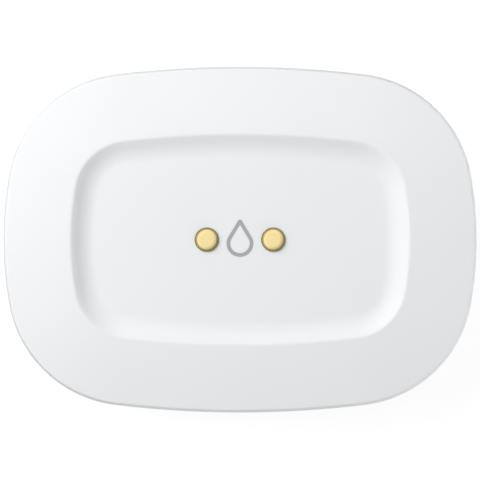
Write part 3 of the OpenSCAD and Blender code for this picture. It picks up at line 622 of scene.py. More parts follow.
def cut_foam():
    """Polyurethane foam, die cut from a sheet: dull and dark, with open cells about 0.35 mm wide between paler
    struts. The darker middles of the cells are painted shade inside the open pores."""
    material, tree, shader, spot = surface("die_cut_polyurethane_foam", "2B2B2C", 0.9, IOR=1.5)
    cells = add(tree, "ShaderNodeTexVoronoi", {"Vector": spot, "Scale": 1 / (0.35 * MM)},
                feature="DISTANCE_TO_EDGE").outputs["Distance"]
    strut = add(tree, "ShaderNodeMapRange", {0: cells, 1: 0.02, 2: 0.25, 3: 1.0, 4: 0.0}).outputs[0]
    # Painted shade: the colour darkens towards the middle of each cell, where the pores would lie in shade
    tint = add(tree, "ShaderNodeMix", {0: strut, 6: srgb("151515"), 7: srgb("434345")}, data_type="RGBA")
    bump = add(tree, "ShaderNodeBump", {"Strength": 0.8, "Distance": 0.08 * MM, "Height": strut})
    fed(tree, shader, {"Base Color": tint.outputs[2], "Normal": bump.outputs[0]})
    return material


def masked_board():
    """Glass-epoxy board under green solder mask: glossy, with long copper runs as a paler relief under the
    mask. The runs are about 0.15 mm wide and 0.7 mm apart, and cross now and then."""
    material, tree, shader, spot = surface("solder_masked_glass_epoxy", "14603A", 0.3, IOR=1.55)
    runs = add(tree, "ShaderNodeTexBrick", {"Vector": spot, "Scale": 1 / (0.7 * MM), "Mortar Size": 0.1,
                                            "Mortar Smooth": 0.2, "Brick Width": 17.0, "Row Height": 1.0,
                                            "Color1": srgb("125A36"), "Color2": srgb("156039"),
                                            "Mortar": srgb("22754A")},
               offset=0.29, offset_frequency=3, squash=2.3, squash_frequency=4).outputs
    bump = add(tree, "ShaderNodeBump", {"Strength": 0.5, "Distance": 0.03 * MM, "Height": runs["Fac"]})
    fed(tree, shader, {"Base Color": runs["Color"], "Normal": bump.outputs[0]})
    return material


def cut_laminate():
    """The routed edge of the board: dull, straw-coloured glass cloth in layers about 0.2 mm thick."""
    material, tree, shader, spot = surface("routed_glass_epoxy_edge", "B9AE7E", 0.7, IOR=1.55)
    layers = add(tree, "ShaderNodeTexWave", {"Vector": spot, "Scale": 0.8 / MM, "Distortion": 1.5},
                 bands_direction="Z").outputs["Fac"]
    tint = add(tree, "ShaderNodeMix", {0: layers, 6: srgb("A89C6B"), 7: srgb("C8BE92")}, data_type="RGBA")
    fed(tree, shader, {"Base Color": tint.outputs[2]})
    return material


def fired_ceramic(name, light, shade):
    """Pressed and fired ceramic: opaque and smooth, with a fine speckle about 0.1 mm wide."""
    material, tree, shader, spot = surface(name, light, 0.38, IOR=1.76)
    _, tint = patchy(tree, spot, 0.1, 2.0, light, shade)
    fed(tree, shader, {"Base Color": tint})
    return material


def clear_polycarbonate():
    """Clear injection-moulded polycarbonate: glossy and see-through, with faint flow marks in its gloss."""
    material, tree, shader, spot = surface("moulded_clear_polycarbonate", "E9EEF0", 0.1, IOR=1.585,
                                           Transmission_Weight=0.85)
    flow = add(tree, "ShaderNodeTexNoise", {"Vector": spot, "Scale": 1 / (1.2 * MM), "Detail": 2.0}).outputs[0]
    gloss = add(tree, "ShaderNodeMapRange", {0: flow, **NOISE_SPAN, 3: 0.06, 4: 0.16})
    fed(tree, shader, {"Roughness": gloss.outputs[0]})
    return material


WHITE_ABS = moulded_plastic("moulded_white_abs", "F1F3F5", "EEF0F2", 0.52, 0.22)
GREY_ABS = moulded_plastic("moulded_grey_abs", "BFC2C5", "B7BABD", 0.4, 0.2)
BLACK_NYLON = moulded_plastic("moulded_black_nylon", "232426", "1B1C1E", 0.5, 0.2)
BLACK_EPOXY = moulded_plastic("transfer_moulded_black_epoxy", "1C1D1F", "151617", 0.55, 0.12)
YELLOW_EPOXY = moulded_plastic("transfer_moulded_yellow_epoxy", "E0AE3C", "D6A233", 0.45, 0.12)
BROWN_INK = moulded_plastic("printed_brown_ink", "5A3A1E", "4E3219", 0.5, 0.12)
GOLD = turned_gold()
BRONZE = plated_sheet("stamped_gold_plated_bronze", "EBCB7E", "DDB967", 0.26)
NICKEL = plated_sheet("pressed_nickel_plated_steel", "D3D1CC", "C6C4BF", 0.26)
TIN = plated_sheet("rolled_tin_plated_steel", "D5D6D6", "C4C6C7", 0.36)
INK = pad_print()
GREY_SILICONE = moulded_rubber("moulded_grey_silicone", "A3A6A9", "989B9E", 0.62, 1.41)
BLACK_RUBBER = moulded_rubber("moulded_black_epdm", "1D1D1E", "272728", 0.55, 1.5)
FOAM = cut_foam()
SOLDER_MASK = masked_board()
LAMINATE = cut_laminate()
ALUMINA = fired_ceramic("fired_white_alumina", "E6E4DC", "DCDAD1")
TITANATE = fired_ceramic("fired_tan_titanate", "B0906A", "9F8059")
CLEAR = clear_polycarbonate()


# Case

def upper_housing():
    """The top shell: dish, lip, rim and side, and inside them the ceiling, the bosses and the tongue."""
    wall, fall, slope, side = (math.radians(a) for a in (DISH_WALL_SLOPE, RIM_FALL, RIM_SLOPE, SIDE_SLOPE))
    rise = LIP_RADIUS * (1 - math.cos(fall))
    run = RIM_WIDTH - LIP_RADIUS * math.sin(fall) - SHOULDER_RADIUS * (math.sin(side) - math.sin(slope))
    drop = BODY_HEIGHT - rise - PARTING - EDGE_BEVEL - SHOULDER_RADIUS * (math.cos(slope) - math.cos(side))
    rim_sin, rim_cos = math.sin(slope) - math.sin(fall), math.cos(fall) - math.cos(slope)
    share = rim_sin * math.cos(side) - rim_cos * (1 - math.sin(side))
    rim_radius = (run * math.cos(side) - drop * (1 - math.sin(side))) / share
    side_radius = (drop * rim_sin - run * rim_cos) / share
    lip_start = Vector((RIM_WIDTH + LIP_RADIUS * math.sin(wall),
                        BODY_HEIGHT + LIP_RADIUS * (math.cos(wall) - 1)))
    wall_radius = (DISH_DEPTH - DISH_WALL_RUN * math.sin(wall)) / (1 - math.cos(wall)) - LIP_RADIUS
    dish_edge = lip_start.x + DISH_WALL_RUN * math.cos(wall) + wall_radius * math.sin(wall)
    tongue_out, tongue_in = GROOVE_OUT + FIT_GAP, GROOVE_IN - FIT_GAP
    tongue_z = PARTING - GROOVE_DEPTH + SEAL_HEIGHT
    section = [Vector((dish_edge + OUTER_FLAT, DISH_Z))]
    section += arcs((dish_edge, DISH_Z), 0, [(-wall_radius, DISH_WALL_SLOPE, 18)])
    section += arcs(lip_start, DISH_WALL_SLOPE, [(LIP_RADIUS, -RIM_FALL, 12), (rim_radius, -RIM_SLOPE, 12),
                                                 (SHOULDER_RADIUS, -SIDE_SLOPE, 18), (side_radius, -90, 10)])
    section += [Vector(p) for p in ((EDGE_BEVEL, PARTING), (tongue_out, PARTING), (tongue_out, tongue_z),
                                    (tongue_in, tongue_z), (tongue_in, PARTING), (SHELL_WALL, PARTING))]
    section += arcs((SHELL_WALL, RIM_CEILING - INNER_CORNER), 90, [(-INNER_CORNER, 180, 8)])
    section += [Vector((RIM_WIDTH, RIM_CEILING)), Vector((dish_edge - RIM_WALL, DISH_CEILING))]
    shell = case_shell("upper_housing_shell", section, CROWN, WHITE_ABS)
    boss = bore("boss", [(BOSS_D / 2, RIM_CEILING + RIM_WALL / 4)], BOARD_TOP)
    pilot = bore("pilot", [(SCREW_D / 2 + FIT_GAP, corners("housing_screws")[1].z + FIT_GAP)], BOARD_TOP - 1)
    seat = bore("seat", [(PROBE_SHANK / 2 + FIT_GAP, corners("drip_probe_washers")[0].z),
                         (WASHER_R + FIT_GAP, DISH_Z + 1)], DISH_CEILING - 1)
    return carved(shell, [repeated("bosses", boss, FEET)],
                  [repeated("pilots", pilot, FEET), repeated("seats", seat, DRIP_PROBES),
                   droplet_line("groove", FIT_GAP / 5, DISH_Z + 1)])


def lower_housing():
    """The base shell: belly, flat base, floor and seal groove, with the battery bay, the bosses and every seat
    that is sunk into it from below."""
    belly_z = PARTING - EDGE_BEVEL
    lean = math.sin(math.radians(BELLY_LEAN))
    upright = math.cos(math.radians(BELLY_LEAN))
    belly = (belly_z - BASE_Z - BASE_EDGE_RADIUS * (1 - lean)) / lean
    inner_belly = (belly_z - FLOOR_Z - FLOOR_FILLET * (1 - lean)) / lean
    floor_edge = SHELL_WALL + inner_belly * (1 - upright) + FLOOR_FILLET * upright
    groove_z = PARTING - GROOVE_DEPTH
    outside = arcs((0, belly_z), -90, [(belly, -90 - BELLY_LEAN, 20), (BASE_EDGE_RADIUS, -180, 12)])
    section = [Vector((floor_edge + INNER_FLAT, FLOOR_Z))]
    section += arcs((floor_edge, FLOOR_Z), 0, [(-FLOOR_FILLET, 90 - BELLY_LEAN, 6), (-inner_belly, 90, 12)])
    section += [Vector(p) for p in ((SHELL_WALL, PARTING), (GROOVE_IN, PARTING), (GROOVE_IN, groove_z),
                                    (GROOVE_OUT, groove_z), (GROOVE_OUT, PARTING), (EDGE_BEVEL, PARTING))]
    section += outside + [Vector((outside[-1].x + OUTER_FLAT, BASE_Z))]
    shell = case_shell("lower_housing_shell", section, 0.0, WHITE_ABS)
    root, below = FLOOR_Z - FLOOR_THICKNESS / 2, BASE_Z - 1
    boss = bore("boss", [(BOSS_D / 2, BOARD_Z)], root)
    collar = bore("collar", [(COLLAR_R, COLLAR_Z)], root, centre=CELL.xy)
    head_low, head_high = corners("housing_screws")
    head_r = (head_high.x - head_low.x) / 2 - FEET[1].x
    screw = bore("screw", [(FOOT_R + SLIDE_GAP, FOOT_TOP), (head_r + SLIDE_GAP, HEAD_SEAT),
                           (SCREW_D / 2 + SLIDE_GAP, BOARD_Z + 1)], below, SEAT_ROLL, BASE_Z)
    bay = bore("bay", [(MOUTH_R, LEDGE_Z), (CELL_R + DOOR_GAP, COLLAR_Z + 1)], below, MOUTH_ROLL, BASE_Z,
               CELL.xy)
    probe = bore("probe", [(WASHER_R + FIT_GAP, corners("floor_probe_washers")[1].z),
                           (PROBE_SHANK / 2 + FIT_GAP, FLOOR_Z + 1)], below)
    button = bore("button", [(BUTTON_R + SLIDE_GAP, FLOOR_Z + 1)], below, MOUTH_ROLL, BASE_Z, BUTTON.xy)
    light = bore("light", [(LIGHT_R + FIT_GAP, FLOOR_Z + 1)], below, LIGHT_ROLL, BASE_Z, LIGHT.xy)
    mouth = BASE_Z - HAIR
    flare = [(SEAT_ROLL * (1 - math.sin(a)), mouth + SEAT_ROLL * (1 - math.cos(a))) for a in quarter(6)]
    flare = [(SEAT_ROLL, below), *flare, (0.0, BASE_Z + NAIL_ROOM)]
    nail = joined("nail", loft([tab_outline(DOOR_GAP + grow, NAIL_ROOM + grow, z) for grow, z in flare]))
    slot_low = CELL + Vector((0, -CONTACT_W / 2 - SLIDE_GAP, 0))
    slot = joined("slot", block(Vector((slot_low.x, slot_low.y, CELL_Z + (CELL_TOP - CELL_Z) / 5)),
                                Vector((CELL.x + COLLAR_R + 1, -slot_low.y, COLLAR_Z + 2)), 0.1, 0.0, 0.0))
    return carved(shell, [repeated("bosses", boss, FEET), collar],
                  [repeated("screw_seats", screw, FEET), bay, nail, slot,
                   repeated("probe_seats", probe, FLOOR_PROBES), button, light])


def tab_outline(wider, longer, z):
    """The outline of the door's tab, from inside the door out to an arc about its centre."""
    half, reach = TAB_WIDTH / 2 + wider, DOOR_R + TAB_REACH + longer
    swing = math.asin(half / reach)
    arc = [math.pi - swing + 2 * swing * k / 12 for k in range(13)]
    inner = CELL.x - DOOR_R / 2
    return ([(inner, half, z)] + [(CELL.x + reach * math.cos(a), reach * math.sin(a), z) for a in arc]
            + [(inner, -half, z)])


def droplet_loop(grow, line=0.0):
    """A droplet's outline with its tip towards +Y, or the bare middle inside its line, whose tip is sharp."""
    low, high = corners("droplet_inlay")
    width, height = high.x - low.x, high.y - low.y
    r = width / 2 - line + grow
    tip_y = height - width / 2 - DROPLET_TIP
    reach = tip_y * r / (width / 2 - DROPLET_TIP) if line else tip_y
    point = 0.0 if line else DROPLET_TIP + grow
    lean = math.acos((r - point) / reach)
    loop = [(r * math.cos(a), r * math.sin(a))
            for a in (math.pi / 2 + lean + i * (2 * math.pi - 2 * lean) / 72 for i in range(73))]
    loop += [(point * math.cos(a), reach + point * math.sin(a))
             for a in (math.pi / 2 - lean + i * 2 * lean / 16 for i in range(17))]
    return [(x, low.y + width / 2 + y) for x, y in loop]


def droplet_line(name, grow, top):
    """The droplet's line as a closed ring, grown all round, up to a height."""
    outer, inner = droplet_loop(grow), droplet_loop(-grow, DROPLET_LINE)
    bottom = corners("droplet_inlay")[0].z
    points = [(x, y, z) for loop, z in ((outer, bottom), (outer, top), (inner, top), (inner, bottom))
              for x, y in loop]
    piece = from_parts(name, points, quads(4, len(outer), ring=True))
    form = bmesh.new()
    form.from_mesh(piece.data)
    bmesh.ops.remove_doubles(form, verts=form.verts, dist=1e-8)
    form.to_mesh(piece.data)
    form.free()
    return piece


def case_seal():
    """The ring of silicone between the shells, pressed to a rounded section."""
    low, high = corners("housing_seal")
    loop = edged(GROOVE_OUT + FIT_GAP, GROOVE_IN - FIT_GAP, low.z, high.z, 0.2)
    outline = case_outline()
    points = [(p.x - s.x * n.x, p.y - s.x * n.y, s.y) for s in loop for p, n in outline]
    return from_parts("housing_seal_ring", points, quads(len(loop), len(outline), ring=True))


fitted(upper_housing(), "case", "shell_white", "upper_housing")
fitted(lower_housing(), "case", "shell_white", "lower_housing")
sign = droplet_line("droplet_print", 0.0, corners("droplet_inlay")[1].z)
sign.data.materials.append(INK)
fitted(sign, "case", "droplet_grey", "droplet_inlay")
seal = case_seal()
seal.data.materials.append(GREY_SILICONE)
fitted(seal, "case", "silicone_grey", "housing_seal")


# Probes and what seals, holds and meets them

def probe_stud(node, up):
    """A probe's stud: a plain shank, and a flat head with three bevels around it, the inner ones shallower."""
    low, high = corners(node)
    r = (high.x - low.x) / 2
    tail, seat, face, way = (low.z, DISH_Z, high.z, 1) if up else (high.z, BASE_Z, low.z, -1)
    shank = [(0, tail, 0), (PROBE_SHANK / 2, tail, 0.15), (PROBE_SHANK / 2, seat, 0), (r, seat, 0.04)]
    bevels = [(r - inset, face - way * under, roll) for inset, under, roll in PROBE_BEVELS]
    return turned("stud", rounded([*shank, *bevels, (0, face, 0)]))


def hex_nut(z0, z1, across):
    """A hexagon nut, its corners turned off at both faces, with a chamfered bore."""
    turns = [2 * math.pi * i / AROUND for i in range(AROUND)]
    face, hole = across / 2 * NUT_FACE, PROBE_SHANK / 2 + FIT_GAP
    columns = []
    for a in turns:
        full = across / 2 / math.cos(a % (math.pi / 3) - math.pi / 6)
        cut = max(full - face, 0) * math.tan(math.radians(30))
        columns.append([(hole, z0 + NUT_BREAK), (hole + NUT_BREAK, z0), (face, z0), (full, z0 + cut),
                        (full, z1 - cut), (face, z1), (hole + NUT_BREAK, z1), (hole, z1 - NUT_BREAK)])
    rows = list(zip(*columns))
    points = [(r * math.cos(a), r * math.sin(a), z) for row in rows for (r, z), a in zip(row, turns)]
    return from_parts("nut", points, quads(len(rows), AROUND, ring=True))


def nut_of(node):
    """The nut of a node, from its own heights."""
    low, high = corners(node)
    return hex_nut(low.z, high.z, NUT_ACROSS)


def washer_of(node):
    """The washer of a node, from its own heights."""
    low, high = corners(node)
    return hoop("washer", edged(PROBE_SHANK / 2 + FIT_GAP, WASHER_R, low.z, high.z, 0.08))


def finger(side):
    """A finger on the board that bends up against a drip probe's shank."""
    low, high = corners("drip_spring_fingers")
    rise, t, reach = high.z - low.z, STRIP, FINGER
    path = [(reach / 2, t / 2), (-reach / 2, t / 2), (-reach * 0.65, rise * 0.35), (-reach / 3, rise * 0.75),
            (-reach / 8, rise - t / 2), (reach / 8, rise - t / 2), (reach / 3, rise * 0.85)]
    place = (DRIP_PROBES[0 if side < 0 else 1].x, 0, low.z)
    return bent_strip(path, 0.2, t, PROBE_SHANK, place, side)


pin_low, pin_high = corners("spring_pin_plungers")
barrel_low, barrel_high = corners("spring_pin_barrels")
barrel_r = (barrel_high.x - barrel_low.x) / 2 - FLOOR_PROBES[1].x
pin_r = (pin_high.x - pin_low.x) / 2 - FLOOR_PROBES[1].x
blind = barrel_high.z - (barrel_high.z - barrel_low.z) / 3
groove_z = barrel_low.z + PIN_GROOVE_Z
barrel = turned("barrel", rounded([
    (0, blind, 0), (pin_r + FIT_GAP, blind, 0), (pin_r + FIT_GAP, barrel_low.z, 0.05),
    (barrel_r, barrel_low.z, 0.1), (barrel_r, groove_z - PIN_GROOVE_HALF, 0),
    (barrel_r - PIN_GROOVE_DEPTH, groove_z, 0), (barrel_r, groove_z + PIN_GROOVE_HALF, 0),
    (barrel_r, barrel_high.z, 0.05), (0, barrel_high.z, 0)]))
plunger = turned("plunger", rounded([(0, pin_low.z, 0), (pin_r, pin_low.z, pin_r * 0.8),
                                     (pin_r, pin_high.z, 0.1), (0, pin_high.z, 0)]))
for name, shape, places, finish, slot, nodes in (
        ("drip_probe_studs", probe_stud("drip_probe_left", True), DRIP_PROBES, GOLD, "contact_gold",
         ["drip_probe_left", "drip_probe_right"]),
        ("floor_probe_studs", probe_stud("floor_probe_front_left", False), FLOOR_PROBES, GOLD, "contact_gold",
         ["floor_probe_" + c for c in CORNERS]),
        ("drip_probe_hex_nuts", nut_of("drip_probe_nuts"), DRIP_PROBES, NICKEL, "plated_steel",
         ["drip_probe_nuts"]),
        ("floor_probe_hex_nuts", nut_of("floor_probe_nuts"), FLOOR_PROBES, NICKEL, "plated_steel",
         ["floor_probe_nuts"]),
        ("drip_probe_seals", washer_of("drip_probe_washers"), DRIP_PROBES, GREY_SILICONE, "silicone_grey",
         ["drip_probe_washers"]),
        ("floor_probe_seals", washer_of("floor_probe_washers"), FLOOR_PROBES, GREY_SILICONE, "silicone_grey",
         ["floor_probe_washers"]),
        ("spring_pin_tubes", barrel, FLOOR_PROBES, BRONZE, "contact_gold", ["spring_pin_barrels"]),
        ("spring_pin_tips", plunger, FLOOR_PROBES, BRONZE, "contact_gold", ["spring_pin_plungers"])):
    fitted(repeated(name, shape, places, finish), "case", slot, *nodes)
fingers = joined("drip_probe_fingers", finger(-1), finger(1))
fingers.data.materials.append(BRONZE)
fitted(fingers, "case", "contact_gold", "drip_spring_fingers")


# Feet and screws

def screw_body():
    """A pan-head screw from below: its head with a cross recess, and a thread that runs out at its tip."""
    low, high = corners("housing_screws")
    r = (high.x - low.x) / 2 - FEET[1].x
    head = turned("screw", rounded([(0, low.z, 0), (r - 0.25, low.z, 0.3), (r, low.z + 0.5, 0.3),
                                    (r, HEAD_SEAT, 0.1), (0, HEAD_SEAT, 0)]))
    rows = []
    for k in range(int((high.z - HEAD_SEAT) / THREAD_PITCH * THREAD_ROWS) + 1):
        z = HEAD_SEAT - 0.1 + k * THREAD_PITCH / THREAD_ROWS
        row = []
        for i in range(THREAD_AROUND):
            turn = i / THREAD_AROUND
            ridge = 1 - abs(2 * ((z / THREAD_PITCH - turn) % 1) - 1)
            size = min(SCREW_D / 2 - THREAD_DEPTH * (1 - ridge), SCREW_D / 4 + (high.z - z) * 0.6)
            row.append((size * math.cos(2 * math.pi * turn), size * math.sin(2 * math.pi * turn), z))
        rows.append(row)
    thread = joined("thread", loft(rows))
    recess = [joined("recess", block(Vector((-x, -y, low.z - 1)), Vector((x, y, low.z + RECESS_DEPTH)),
                                     0.1, 0.0, 0.1))
              for x, y in ((RECESS_HALF_LENGTH, RECESS_HALF_WIDTH), (RECESS_HALF_WIDTH, RECESS_HALF_LENGTH))]
    return carved(head, [thread], recess)


fitted(repeated("pan_head_screws", screw_body(), FEET, NICKEL), "case", "plated_steel", "housing_screws")
foot = turned("foot", rounded([(0, 0, 0), (FOOT_R, 0, 0.35), (FOOT_R, FOOT_TOP, 0.1), (0, FOOT_TOP, 0)]))
fitted(repeated("silicone_feet", foot, FEET, GREY_SILICONE), "case", "silicone_grey",
       *("foot_" + c for c in CORNERS))


# Battery and its door

def door_panel():
    """The press-in door: a flat disc with a groove for its seal, a recess inside and a tab to lift."""
    web = corners("cell_pad")[0].z
    low, high = corners("door_seal")
    slack = FIT_GAP / 2
    disc = turned("battery_door_panel", rounded([
        (0, BASE_Z, 0), (DOOR_R, BASE_Z, 0.25), (DOOR_R, low.z - slack, 0.05),
        (DOOR_GROOVE_R, low.z - slack, 0), (DOOR_GROOVE_R, high.z + slack, 0), (DOOR_R, high.z + slack, 0.03),
        (DOOR_R, LEDGE_Z, 0.08), (RECESS_R, LEDGE_Z, 0.08), (RECESS_R, web, 0.2), (0, web, 0)]),
        WIDE_AROUND, CELL.xy)
    disc.data.materials.append(WHITE_ABS)
    rows = [(TAB_ROLL * (1 - math.sin(a)), BASE_Z + TAB_ROLL * (1 - math.cos(a))) for a in quarter(4)]
    rows.append((0.0, BASE_Z + TAB_THICKNESS))
    tab = joined("tab", loft([tab_outline(-inset, -inset, z) for inset, z in rows]))
    return carved(disc, [tab])


def cell_body():
    """A coin cell: a wide can with a rolled edge, a crimp over a dark gasket, and a raised cap at the board."""
    cap_r, crimp_z = CELL_R - CAP_IN, CELL_TOP - CRIMP_DROP
    gasket_z = crimp_z - GASKET_DROP
    cell = turned("coin_cell_body", rounded([
        (0, CELL_Z, 0), (CELL_R - CAN_RIDGE_IN, CELL_Z, 0.1), (CELL_R - 0.75, CELL_Z + CAN_RIDGE, 0.05),
        (CELL_R, CELL_Z + CAN_RIDGE, 0.45), (CELL_R, crimp_z, 0.4), (cap_r + 0.5, crimp_z, 0.1),
        (cap_r + 0.42, gasket_z, 0), (cap_r, gasket_z, 0), (cap_r, CELL_TOP, 0.3), (0, CELL_TOP, 0)]),
        WIDE_AROUND, CELL.xy)
    cell.data.materials.append(NICKEL)
    faced(cell, BLACK_NYLON, lambda spot, way: abs(spot.z - gasket_z) < HAIR)
    return cell


def foam_disc():
    """The foam under the cell, squeezed so that its side bulges."""
    low, high = corners("cell_pad")
    r = (high.x - low.x) / 2
    side = [Vector((r - FOAM_BULGE * (1 - math.sin(math.pi * k / 8)), low.z + (high.z - low.z) * k / 8))
            for k in range(9)]
    return turned("cell_foam", [Vector((0, low.z)), Vector((r / 2, low.z)), *side, Vector((r / 2, high.z)),
                                Vector((0, high.z))], AROUND, CELL.xy)


def side_contact():
    """A bowed strip from the board down the side of the cell."""
    t, height = STRIP, CELL_TOP - CELL_Z
    touch, bow = CELL_R + FIT_GAP + t / 2, CONTACT_BOW
    path = [(corners("positive_contact")[1].x - CELL.x, BOARD_Z - t / 2), (touch + bow, BOARD_Z - t / 2),
            (touch + bow / 2, CELL_TOP - height / 5), (touch, CELL_TOP - height / 2),
            (touch + bow, CELL_Z + height / 4)]
    return joined("side_contact_strip", bent_strip(path, 0.3, t, CONTACT_W, (CELL.x, 0, 0)))


def middle_contact():
    """A leaf from the board down to the middle of the cell."""
    t, leaf = STRIP, CONTACT_LEAF
    path = [(corners("negative_contact")[0].x - CELL.x, BOARD_Z - t / 2), (-leaf, BOARD_Z - t / 2),
            (-leaf / 3, CELL_TOP + t / 2), (leaf / 3, CELL_TOP + t / 2), (leaf, (CELL_TOP + BOARD_Z) / 2)]
    return joined("middle_contact_leaf", bent_strip(path, 0.6, t, CONTACT_W, (CELL.x, 0, 0)))


fitted(door_panel(), "door", "shell_white", "battery_door")
seal_low, seal_high = corners("door_seal")
tube = (seal_high.z - seal_low.z) / 2
tube_r, tube_z = seal_high.x - CELL.x - tube, seal_low.z + tube
ring = hoop("door_seal_ring", [(tube_r + tube * math.cos(a), tube_z + tube * math.sin(a))
                               for a in (math.radians(15 * k) for k in range(24))], CELL.xy, WIDE_AROUND)
foam = foam_disc()
cell = cell_body()
contacts = side_contact(), middle_contact()
for piece, finish, body, slot, node in ((ring, BLACK_RUBBER, "door", "seal_black", "door_seal"),
                                        (foam, FOAM, "door", "foam_black", "cell_pad"),
                                        (cell, None, "case", "plated_steel", "coin_cell"),
                                        (contacts[0], BRONZE, "case", "contact_gold", "positive_contact"),
                                        (contacts[1], BRONZE, "case", "contact_gold", "negative_contact")):
    if finish:
        piece.data.materials.append(finish)
    fitted(piece, body, slot, node)


# Board

def board_panel():
    """The board: its outline drawn in from the case, a broken edge, and a hole at each screw."""
    outline = case_outline()
    edge = 0.06
    rows = [(edge, BOARD_Z), (0, BOARD_Z + edge), (0, BOARD_TOP - edge), (edge, BOARD_TOP)]
    inset = BODY_LENGTH / 2 - corners("circuit_board")[1].x
    panel = joined("circuit_board_panel", loft([[(p.x - (inset + i) * n.x, p.y - (inset + i) * n.y, z)
                                                 for p, n in outline] for i, z in rows]))
    panel.data.materials.append(SOLDER_MASK)
    hole = bore("hole", [(SCREW_D / 2 + SLIDE_GAP, BOARD_TOP + 1)], BOARD_Z - 1)
    carved(panel, cuts=[repeated("holes", hole, FEET)])
    faced(panel, LAMINATE, lambda spot, way: abs(way.z) < 0.5)
    return panel


def shield_can():
    """The radio's shield: a folded can with rolled edges, open underneath, with a row of vents."""
    low, high = corners("radio_shield")
    can = joined("radio_shield_can", block(low, high, 0.5, 0.0, 0.3))
    can.data.materials.append(TIN)
    sheet = Vector((SHIELD_SHEET, SHIELD_SHEET, 0))
    hollow = joined("hollow", block(low + sheet - Vector((0, 0, 1)),
                                    high - sheet - Vector((0, 0, SHIELD_SHEET)), 0.3, 0.0, 0.15))
    centre = (low + high) / 2
    vent = bore("vent", [(VENT_R, high.z + 1)], high.z - 0.5)
    vents = repeated("vents", vent, [(centre.x + VENT_PITCH * i, centre.y + VENT_PITCH * j)
                                     for i in range(-2, 3) for j in (-1, 1)])
    return carved(can, cuts=[hollow, vents])


def chip_body(node, name, finish, corner, top, mark):
    """A moulded chip with a rolled top and a round mark sunk beside its first pin."""
    low, high = corners(node)
    chip = joined(name, block(low, high, corner, 0.03, top))
    chip.data.materials.append(finish)
    size = (high.x - low.x) / 6
    dot = bore("dot", [(mark, high.z + 1)], high.z - CHIP_MARK_DEPTH, centre=(low.x + size, high.y - size))
    return carved(chip, cuts=[dot])


def end_capped(low, high, cap, roll):
    """A chip whose ends along Y are dipped in metal, so that they stand a little proud."""
    place, size = (low + high) / 2, high - low
    rows = [(0, roll), (roll / 3, roll / 3), (roll, 0), (cap - 0.02, 0), (cap, 0.03)]
    rows += [(size.y - y, inset) for y, inset in rows[::-1]]
    outlines = []
    for y, inset in rows:
        flat = box_outline((place.x, place.z), size.x, size.z, roll, inset, 0)
        outlines.append([(x, low.y + y, z) for x, z, _ in flat])
    return loft(outlines)


def two_ended(name, node, cap, roll, body_finish, end_finish, ends=2):
    """A chip with one or two of its ends in another finish."""
    low, high = corners(node)
    chip = joined(name, end_capped(low, high, cap, roll))
    chip.data.materials.append(body_finish)
    edge = cap - 0.015
    faced(chip, end_finish, lambda spot, way: spot.y < low.y + edge or ends == 2 and spot.y > high.y - edge)
    return chip


def crystal_can():
    """A crystal: a ceramic tray with a pressed lid."""
    low, high = corners("crystal")
    tray_z, inset = low.z + CRYSTAL_TRAY, Vector((CRYSTAL_LID_IN, CRYSTAL_LID_IN, 0))
    tray = block(low, Vector((high.x, high.y, tray_z)), 0.2, 0.02, 0.03)
    lid_low = Vector((low.x, low.y, tray_z - HAIR)) + inset
    can = joined("crystal_package", tray, block(lid_low, high - inset, 0.3, 0.0, 0.1))
    can.data.materials.append(ALUMINA)
    faced(can, NICKEL, lambda spot, way: spot.z > tray_z + HAIR / 2)
    return can


def passive_rows():
    """Rows of small chips, each dipped in tin at both ends."""
    low, high = corners("board_passives")
    half = PASSIVE / 2
    shape = joined("passive", end_capped(Vector((-half.x, -half.y, low.z)), Vector((half.x, half.y, high.z)),
                                         PASSIVE_CAP, 0.06))
    places = [(row[0] + i * PASSIVE_PITCH, row[1]) for row, count in PASSIVE_ROWS for i in range(count)]
    rows = repeated("passive_chips", shape, places, TITANATE)
    faced(rows, TIN, lambda spot, way: min(abs(spot.y - y) for _, y in places) > half.y - PASSIVE_CAP + HAIR)
    return rows


def switch_body():
    """The tactile switch: a nylon body under the board with a plated cover around its plunger."""
    low, high = corners("tact_switch")
    body = joined("tact_switch_body", block(low, high, 0.3, 0.12, 0.03))
    body.data.materials.append(BLACK_NYLON)
    plunger_low, plunger_high = corners("switch_plunger")
    r = (plunger_high.x - plunger_low.x) / 2 + SLIDE_GAP
    carved(body, cuts=[bore("well", [(r, high.z - SWITCH_ROOF)], low.z - 1, centre=BUTTON.xy)])
    faced(body, NICKEL, lambda spot, way: spot.z < low.z + 0.25)
    return body


crystal_piece, board = crystal_can(), board_panel()
capacitor = two_ended("reservoir_capacitor_body", "reservoir_capacitor", 0.5, 0.12, YELLOW_EPOXY, BROWN_INK, 1)
for piece, slot, node in (
        (board, "board_green", "circuit_board"), (shield_can(), "plated_steel", "radio_shield"),
        (chip_body("radio_chip", "radio_chip_body", BLACK_EPOXY, 0.1, 0.05, 0.3), "chip_black", "radio_chip"),
        (chip_body("temperature_chip", "temperature_chip_body", BLACK_EPOXY, 0.08, 0.04, 0.15), "chip_black",
         "temperature_chip"),
        (crystal_piece, "plated_steel", "crystal"), (capacitor, "capacitor_yellow", "reservoir_capacitor"),
        (two_ended("ceramic_antenna", "antenna", 0.7, 0.12, ALUMINA, TIN), "ceramic_white", "antenna"),
        (passive_rows(), "passive_tan", "board_passives"), (switch_body(), "chip_black", "tact_switch")):
    fitted(piece, "case", slot, node)


# Button and light

